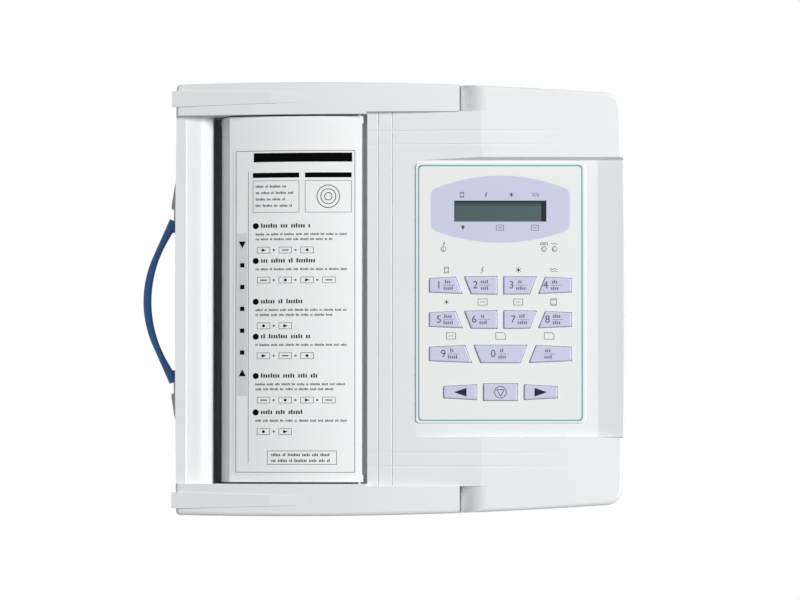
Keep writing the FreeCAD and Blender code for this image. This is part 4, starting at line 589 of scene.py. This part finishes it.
def drop_mark(x, y, size=2.2):
    """A filled drop, point down."""
    cx, cy = at_plate(x, y)
    r = size * MM / 2
    angles = [math.radians(a) for a in range(-20, 201, 20)]
    marks.slab([(cx, cy - 2 * r), *[(cx + r * math.cos(a), cy + r * math.sin(a)) for a in angles]])


def bolt_mark(x, y, size=4.4):
    """A slanting zigzag."""
    cx, cy = at_plate(x, y)
    s = size * MM / 2
    zigzag = ((0.4, 1), (-0.3, 0), (0.3, 0), (-0.4, -1))
    marks.stroke([(cx + x * s, cy + y * s) for x, y in zigzag], 1.3 * line)


def page_mark(x, y, width=6.6, height=4.6):
    """A sheet with one folded corner."""
    cx, cy = at_plate(x, y)
    w, h, fold = width * MM / 2, height * MM / 2, 1.4 * MM
    marks.stroke([(cx + w, cy + h - fold), (cx + w, cy - h), (cx - w, cy - h), (cx - w, cy + h),
                  (cx + w - fold, cy + h), (cx + w, cy + h - fold)], line)


above_display, below_display = 67.2, 44.6
over_lamps, over_row_one, over_row_two, over_row_three = 33.6, 15.6, -6.3, -29.5
ladder_mark(-26.3, above_display, 2.8, 3.8)
bolt_mark(-9.8, above_display, 3.8)
star_mark(7.6, above_display, 3.6)
wave_mark(24.1, above_display, 4.8, 1.2)
drop_mark(-25.6, below_display + 0.6)
tile_mark(-0.3, below_display, 5.4, 3.8)
tile_mark(23.7, below_display, 5.4, 3.8)
bolt_mark(-38.6, over_lamps, 2.6)
tile_mark(29.9, over_lamps, 5.0, 1.8)
wave_mark(37.0, over_lamps, 4.4, 0.0)
ladder_mark(-36.9, over_row_one)
bolt_mark(-12.4, over_row_one)
star_mark(12.4, over_row_one)
wave_mark(36.4, over_row_one)
star_mark(-36.9, over_row_two, 3.4)
tile_mark(-12.2, over_row_two)
tile_mark(12.2, over_row_two)
ladder_mark(36.4, over_row_two, 4.2, 4.8)
tile_mark(-33.8, over_row_three)
page_mark(0.1, over_row_three)
page_mark(33.3, over_row_three)
lamp_places = ((-38.9, 30.0), (29.8, 30.0), (37.1, 30.0))
lamp_ring, lamp_ring_width = 1.85 * MM, 0.24 * MM
for x, y in lamp_places:
    marks.hoop(*at_plate(x, y), lamp_ring, lamp_ring_width)
marks.done("plate_marks", grey_ink, "case")


# Three light pipes in clear acrylic come through the plate from the board below. They are
# polished at the end, so their tone is a little glossier than the plate's.

lamp_clear = moulded("lamp_clear", (0.70, 0.74, 0.70), 0.15, grain=0.000004, coat=0.5)
dress(lamp_clear, "status_lamps")


# The display is a dark grey-green character module behind a clear window, with a black
# mask round its live area and a wider blind strip at the right end. A painted shadow darkens
# the live area along its rear and left edges, and painted shade darkens it towards the rear.

mask_black = moulded("mask_black", (0.012, 0.015, 0.018), 0.2, grain=0.000004, sheen=0.2)
dress(mask_black, "lcd_glass")


def display_glass(name, dark, light, x_low, x_high, y_low, y_high):
    """Liquid-crystal grey with faint character cells and a dark blind strip at the right. Painted
    shade darkens it towards the rear edge, a painted shadow lines its rear and left edges, and it
    is a little lighter to the right.
    """
    material, place, shader = new_finish(name)
    split = place.node("ShaderNodeSeparateXYZ", None, {0: place}).socket.node.outputs
    across = (Wire(place.tree, split["X"]) - x_low) * (1 / (x_high - x_low))
    depth = (y_high - Wire(place.tree, split["Y"])) * (1 / (y_high - y_low))
    cells = place.math("FRACT", across * 16.0) > 0.94
    # Painted shade: darker towards the rear edge of the window, and a little lighter to the right.
    tone_with_painted_rear_shade = place.math("MINIMUM", depth * 3.2, 0.9 + across * 0.1)
    shade = tone_with_painted_rear_shade - cells * 0.03
    # Dark in the blind strip at the right, and a painted shadow along the rear and left edges.
    live_area_outside_painted_shadow = (across < 0.945) * (depth > 0.05) * (across > 0.008)
    feed(shader, "Base Color", (shade * live_area_outside_painted_shadow).blend((*dark, 1.0), (*light, 1.0)))
    feed(shader, "Roughness", depth * 0.06 + 0.16)
    shader.inputs["Specular IOR Level"].default_value = 0.2
    return material


display_face = display_glass(
    "display_face", (0.012, 0.022, 0.028), (0.085, 0.128, 0.142),
    window_low.x, window_high.x, window_low.y, window_high.y,
)
dress(display_face, "lcd_window")


# Fourteen keys are moulded in lavender with a soft bevel. Each digit key has its figure at
# the left and two rows of plain ticks at the right; the lower row has arrows and a ringed
# triangle. All of it is printed on the key's top.

key_resin = moulded("key_resin", (0.60, 0.62, 0.78), 0.4, grain=0.00001, mottle=0.02)
legend_ink = moulded("legend_ink", (0.15, 0.15, 0.23), 0.45, grain=0.000005, mottle=0.08, sheen=0.1)
key_names = [name for name in nodes if name.startswith("key_") and name != "key_board"]
dress(key_resin, *key_names)
figure_height = 5.2 * MM
figure_places = {
    "1": -4.8, "2": -3.6, "3": -5.9, "4": -6.3, "5": -4.8,
    "6": -4.5, "7": -4.8, "8": -5.1, "9": -5.0, "0": -5.0,
}
legend_offset = 6.9
legend_size = 1.9 * MM
one_group = (9,)
for turn, name in enumerate(key_names):
    low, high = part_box(name)
    cx, cy = (low.x + high.x) / 2, (low.y + high.y) / 2
    print_on_key = Ink(lambda x, y, top=high.z: top, high=0.00005)
    label = name[len("key_"):]
    if label in figure_places:
        print_on_key.figure(label, cx + figure_places[label] * MM, cy, figure_height)
    if label in figure_places or label == "escape":
        middle = cx + (figure_places.get(label, -legend_offset - 0.8) + legend_offset) * MM
        legend = Ink(lambda x, y, top=high.z: top, high=0.00005)
        legend.bar(middle - 3.9 * MM, cy - 0.12 * MM, middle + 3.9 * MM, cy + 0.12 * MM)
        for low_edge, width in ((1.2, 4.4 + turn % 3), (-3.2, 6.4 + turn % 2)):
            start = middle - width * MM / 2
            length = width * MM - legend_size
            legend.ticks(start, cy + low_edge * MM, length, legend_size, turn, one_group)
        legend.done(f"{name}_legend", legend_ink, f"{name}_cap")
    if label in ("left", "right"):
        way = -1 if label == "left" else 1
        tip, base = cx + way * 4.4 * MM, cx - way * 4.3 * MM
        points = [(base, cy - 2.95 * MM), (tip, cy), (base, cy + 2.95 * MM)]
        print_on_key.slab(points if way > 0 else points[::-1])
    if label == "stop":
        print_on_key.hoop(cx, cy, 4.2 * MM, 0.42 * MM)
        top, half = cy + 1.75 * MM, 2.5 * MM
        corners = [(cx, cy - 2.9 * MM), (cx + half, top), (cx - half, top)]
        print_on_key.stroke([*corners, corners[0]], 0.42 * MM)
    if label != "escape":
        ink = grey_ink if label in figure_places else navy_ink
        print_on_key.done(f"{name}_print", ink, f"{name}_cap")
keypad_silicone = moulded("keypad_silicone", (0.5, 0.52, 0.52), 0.6)
dress(keypad_silicone, "keypad_sheet")


# The paper door is moulded like the top shell, in a paler grade. It swings on two steel
# pins at its right edge.

door_plastic = moulded("door_plastic", (0.92, 0.93, 0.93), 0.46)
dress(door_plastic, "printer_door")
dress(spring_steel, "door_hinge_pins")


# A printed sheet is stuck over the door's top. It has a dark header, a grey margin with
# arrows at the left, and bulleted blocks of small print drawn as rows of plain ticks.

sheet_white = moulded(
    "sheet_white", (0.92, 0.93, 0.93), 0.3, grain=0.00001, mottle=0.015, coat=0.15
)
dress(sheet_white, "door_label")
sheet_low, sheet_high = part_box("door_label")
sheet_mesh = nodes["door_label"].data
sheet_tree = BVHTree.FromPolygons(
    [v.co.copy() for v in sheet_mesh.vertices], [tuple(p.vertices) for p in sheet_mesh.polygons]
)


def on_sheet(x, y):
    """Height of the curved sheet's upper face."""
    x = min(max(x, sheet_low.x + 1e-5), sheet_high.x - 1e-5)
    y = min(max(y, sheet_low.y + 1e-5), sheet_high.y - 1e-5)
    return sheet_tree.ray_cast(Vector((x, y, sheet_high.z + 0.01)), Vector((0, 0, -1)))[0].z


ink_black = moulded("ink_black", (0.004, 0.004, 0.004), 0.7, grain=0.000005, mottle=0.2, sheen=0.0)
margin_grey = moulded("margin_grey", (0.74, 0.75, 0.755), 0.35, grain=0.000005, mottle=0.02)
print_black = Ink(on_sheet, high=0.00007)
print_grey = Ink(on_sheet, high=0.00004)
left, front = sheet_low.x, sheet_low.y
wide, deep = sheet_high.x - left, sheet_high.y - front


def on(x, y):
    """A place on the sheet, in millimetres from its left front corner."""
    return left + x * MM, front + y * MM


def black_bar(x, y, width, height):
    a, b = on(x, y)
    print_black.bar(a, b, a + width * MM, b + height * MM)


def small_print(x, y, width, size, start):
    print_black.ticks(*on(x, y), width * MM, size * MM, start)


def key_picture(x, y, width, height, kind):
    """A small outlined tile with a plain sign in it."""
    a, b = on(x, y)
    w, h = width * MM, height * MM
    print_black.frame_of(a, b, a + w, b + h, 0.28 * MM)
    if kind == 0:
        print_black.disc(a + w / 2, b + h / 2, h * 0.22)
    elif kind == 1:
        points = ((0.35, 0.25), (0.7, 0.5), (0.35, 0.75))
        print_black.slab([(a + w * x, b + h * y) for x, y in points])
    else:
        print_black.bar(a + w * 0.25, b + h * 0.42, a + w * 0.75, b + h * 0.58)


sheet_wide, sheet_deep = wide / MM, deep / MM
outline_inset = 1.6
a, b = on(outline_inset, outline_inset)
c, d = on(sheet_wide - outline_inset, sheet_deep - outline_inset)
print_black.frame_of(a, b, c, d, 0.3 * MM)
header_left, header_low, header_height = 14.0, sheet_deep - 9.4, 6.2
black_bar(header_left, header_low, sheet_wide - header_left - 3.6, header_height)
margin_left, margin_right = 2.6, 9.6
margin_low, margin_high = 54.0, 166.0
a, b = on(margin_left, margin_low)
c, d = on(margin_right, margin_high)
print_grey.bar(a, b, c, d)
black_bar(margin_right + 0.6, 8.0, 0.25, sheet_deep - 24.0)
arrow_places = ((158.0, -1), (70.0, 1))
square_places = (84.0, 99.0, 114.0, 129.0, 144.0)
arrow_half, square_half = 2.4 * MM, 1.5 * MM
for y, way in arrow_places:
    a, b = on((margin_left + margin_right) / 2, y)
    half = arrow_half
    points = [(a - half, b - way * half), (a + half, b - way * half), (a, b + way * half)]
    print_black.slab(points if way > 0 else points[::-1])
for y in square_places:
    a, b = on((margin_left + margin_right) / 2, y)
    print_black.bar(a - square_half, b - square_half, a + square_half, b + square_half)
block_left = 13.4
block_width = sheet_wide - block_left - 4.0
picture_low, picture_high = 180.0, 202.0
picture_gap = 4.0
picture_width = (block_width - picture_gap) / 2
for i in (0, 1):
    x = block_left + i * (picture_width + picture_gap)
    black_bar(x, picture_high + 2.0, picture_width, 3.4)
    a, b = on(x, picture_low)
    c, d = on(x + picture_width, picture_high)
    print_black.frame_of(a, b, c, d, 0.25 * MM)
for i in range(4):
    length = picture_width - 6.0 - 5.0 * (i % 2)
    small_print(block_left + 2.0, picture_low + 4.0 + 4.4 * i, length, 1.3, i)
ring_x, ring_y = on(
    block_left + 1.5 * picture_width + picture_gap, (picture_low + picture_high) / 2
)
for radius in (8.0, 5.4, 2.8):
    print_black.hoop(ring_x, ring_y, radius * MM, 0.5 * MM)
block_tops = (172.0, 148.0, 120.0, 96.0, 69.0, 44.0)
row_step = 3.4
tile_step, tile_width, tile_height = 15.0, 9.0, 4.4
for number, top in enumerate(block_tops, start=1):
    a, b = on(block_left + 2.1, top - 1.2)
    print_black.disc(a, b, 2.1 * MM)
    small_print(block_left + 5.8, top - 2.4, 28.0 + 5.0 * (number % 3), 2.3, number)
    rows = 2 if number % 2 else 1
    for row in range(rows):
        length = block_width - 6.0 - 9.0 * (row % 2)
        small_print(block_left + 2.0, top - 7.6 - row_step * row, length, 1.2, number + row)
    tiles_y = top - 11.0 - row_step * rows
    for i in range(2 + number % 3):
        x = block_left + 3.0 + tile_step * i
        key_picture(x, tiles_y - tile_height / 2, tile_width, tile_height, (number + i) % 3)
        if i:
            a, b = on(block_left - 0.2 + tile_step * i, tiles_y)
            back, half = a - 0.9 * MM, 0.8 * MM
            print_black.slab([(back, b - half), (a + 0.9 * MM, b), (back, b + half)])
a, b = on(block_left + 10.0, 7.0)
c, d = on(block_left + 58.0, 16.5)
print_black.frame_of(a, b, c, d, 0.3 * MM)
for i in (0, 1):
    small_print(block_left + 13.0, 8.8 + 4.0 * i, 40.0, 1.5, 2 + i)
print_black.done("sheet_print", ink_black, "door")
print_grey.done("sheet_margin", margin_grey, "door")


# The platen is ground silicone rubber, bonded to a steel shaft. The door carries it, so it
# swings clear of the head when the door opens.

platen_silicone = moulded("platen_silicone", (0.06, 0.06, 0.065), 0.6, grain=0.00004)
dress(platen_silicone, "platen_rubber")
dress(spring_steel, "platen_shaft")


# The carry handle is a blue nylon strap, bent to an arch, with a knuckle at each end. Two
# pale brackets with moulded pins hold it to the left wall.

handle_nylon = moulded("handle_nylon", (0.048, 0.19, 0.50), 0.42, grain=0.00004, mottle=0.06)
dress(handle_nylon, "handle", smooth=40.0)
dress(base_plastic, "handle_brackets")


# A plain pale floor, a white surround, one broad soft light at the right and rear, about
# fifty degrees up, and a long lens nearly straight above, a little to the recorder's front.


def white_to_camera(tree, dim_shader, output):
    """White where the camera, a reflection or glass sees it, and dim_shader elsewhere."""
    path = tree.nodes.new("ShaderNodeLightPath").outputs
    seen = Wire(tree, path["Is Camera Ray"])
    seen = seen.math("MAXIMUM", seen, Wire(tree, path["Is Glossy Ray"]))
    seen = seen.math("MAXIMUM", seen, Wire(tree, path["Is Transmission Ray"]))
    kind = "ShaderNodeBackground" if output == "World Output" else "ShaderNodeEmission"
    white = tree.nodes.new(kind)
    white.inputs["Color"].default_value = (1.0, 1.0, 1.0, 1.0)
    mix = tree.nodes.new("ShaderNodeMixShader")
    tree.links.new(seen.socket, mix.inputs[0])
    tree.links.new(dim_shader, mix.inputs[1])
    tree.links.new(white.outputs[0], mix.inputs[2])
    tree.links.new(mix.outputs[0], tree.nodes[output].inputs["Surface"])


world = bpy.data.worlds.new("studio")
world.use_nodes = True
bpy.context.scene.world = world
sky = world.node_tree.nodes["Background"]
sky.inputs["Color"].default_value = (0.95, 0.98, 1.0, 1.0)
sky.inputs["Strength"].default_value = 0.27
white_to_camera(world.node_tree, sky.outputs[0], "World Output")

floor_mesh = bpy.data.meshes.new("floor")
reach = 3.0
floor_drop = 0.1 * MM
corners = [(x * reach, y * reach, -floor_drop) for x, y in ((-1, -1), (1, -1), (1, 1), (-1, 1))]
floor_mesh.from_pydata(corners, [], [(0, 1, 2, 3)])
floor = bpy.data.objects.new("floor", floor_mesh)
bpy.context.scene.collection.objects.link(floor)
floor_paint = bpy.data.materials.new("floor_paint")
floor_paint.use_nodes = True
floor_mesh.materials.append(floor_paint)
floor_shader = floor_paint.node_tree.nodes["Principled BSDF"]
floor_shader.inputs["Base Color"].default_value = (0.45, 0.45, 0.45, 1.0)
white_to_camera(floor_paint.node_tree, floor_shader.outputs[0], "Material Output")


def area_light(name, place, target, size, power):
    lamp = bpy.data.lights.new(name, "AREA")
    lamp.shape = "DISK"
    lamp.size = size
    lamp.energy = power
    holder = bpy.data.objects.new(name, lamp)
    holder.location = place
    holder.rotation_euler = (Vector(target) - Vector(place)).to_track_quat("-Z", "Y").to_euler()
    bpy.context.scene.collection.objects.link(holder)


area_light("key_light", (2.95, 1.1, 3.75), (0.0, 0.0, 0.05), 1.6, 209.0)

camera_data = bpy.data.cameras.new("camera")
camera = bpy.data.objects.new("camera", camera_data)
bpy.context.scene.collection.objects.link(camera)
bpy.context.scene.camera = camera
sensor_width = 36.0
picture_width = 800
pixel_size = 0.684 * MM
camera_distance = 3.0
aim = Vector((0.0127, -0.001, 0.088))
tilt = math.radians(1.93)
camera_data.sensor_width = sensor_width
camera_data.lens = sensor_width * camera_distance / (picture_width * pixel_size)
camera.location = (aim.x, aim.y - camera_distance * math.tan(tilt), aim.z + camera_distance)
camera.rotation_euler = (aim - camera.location).to_track_quat("-Z", "Y").to_euler()
bpy.context.scene.view_settings.view_transform = "Standard"
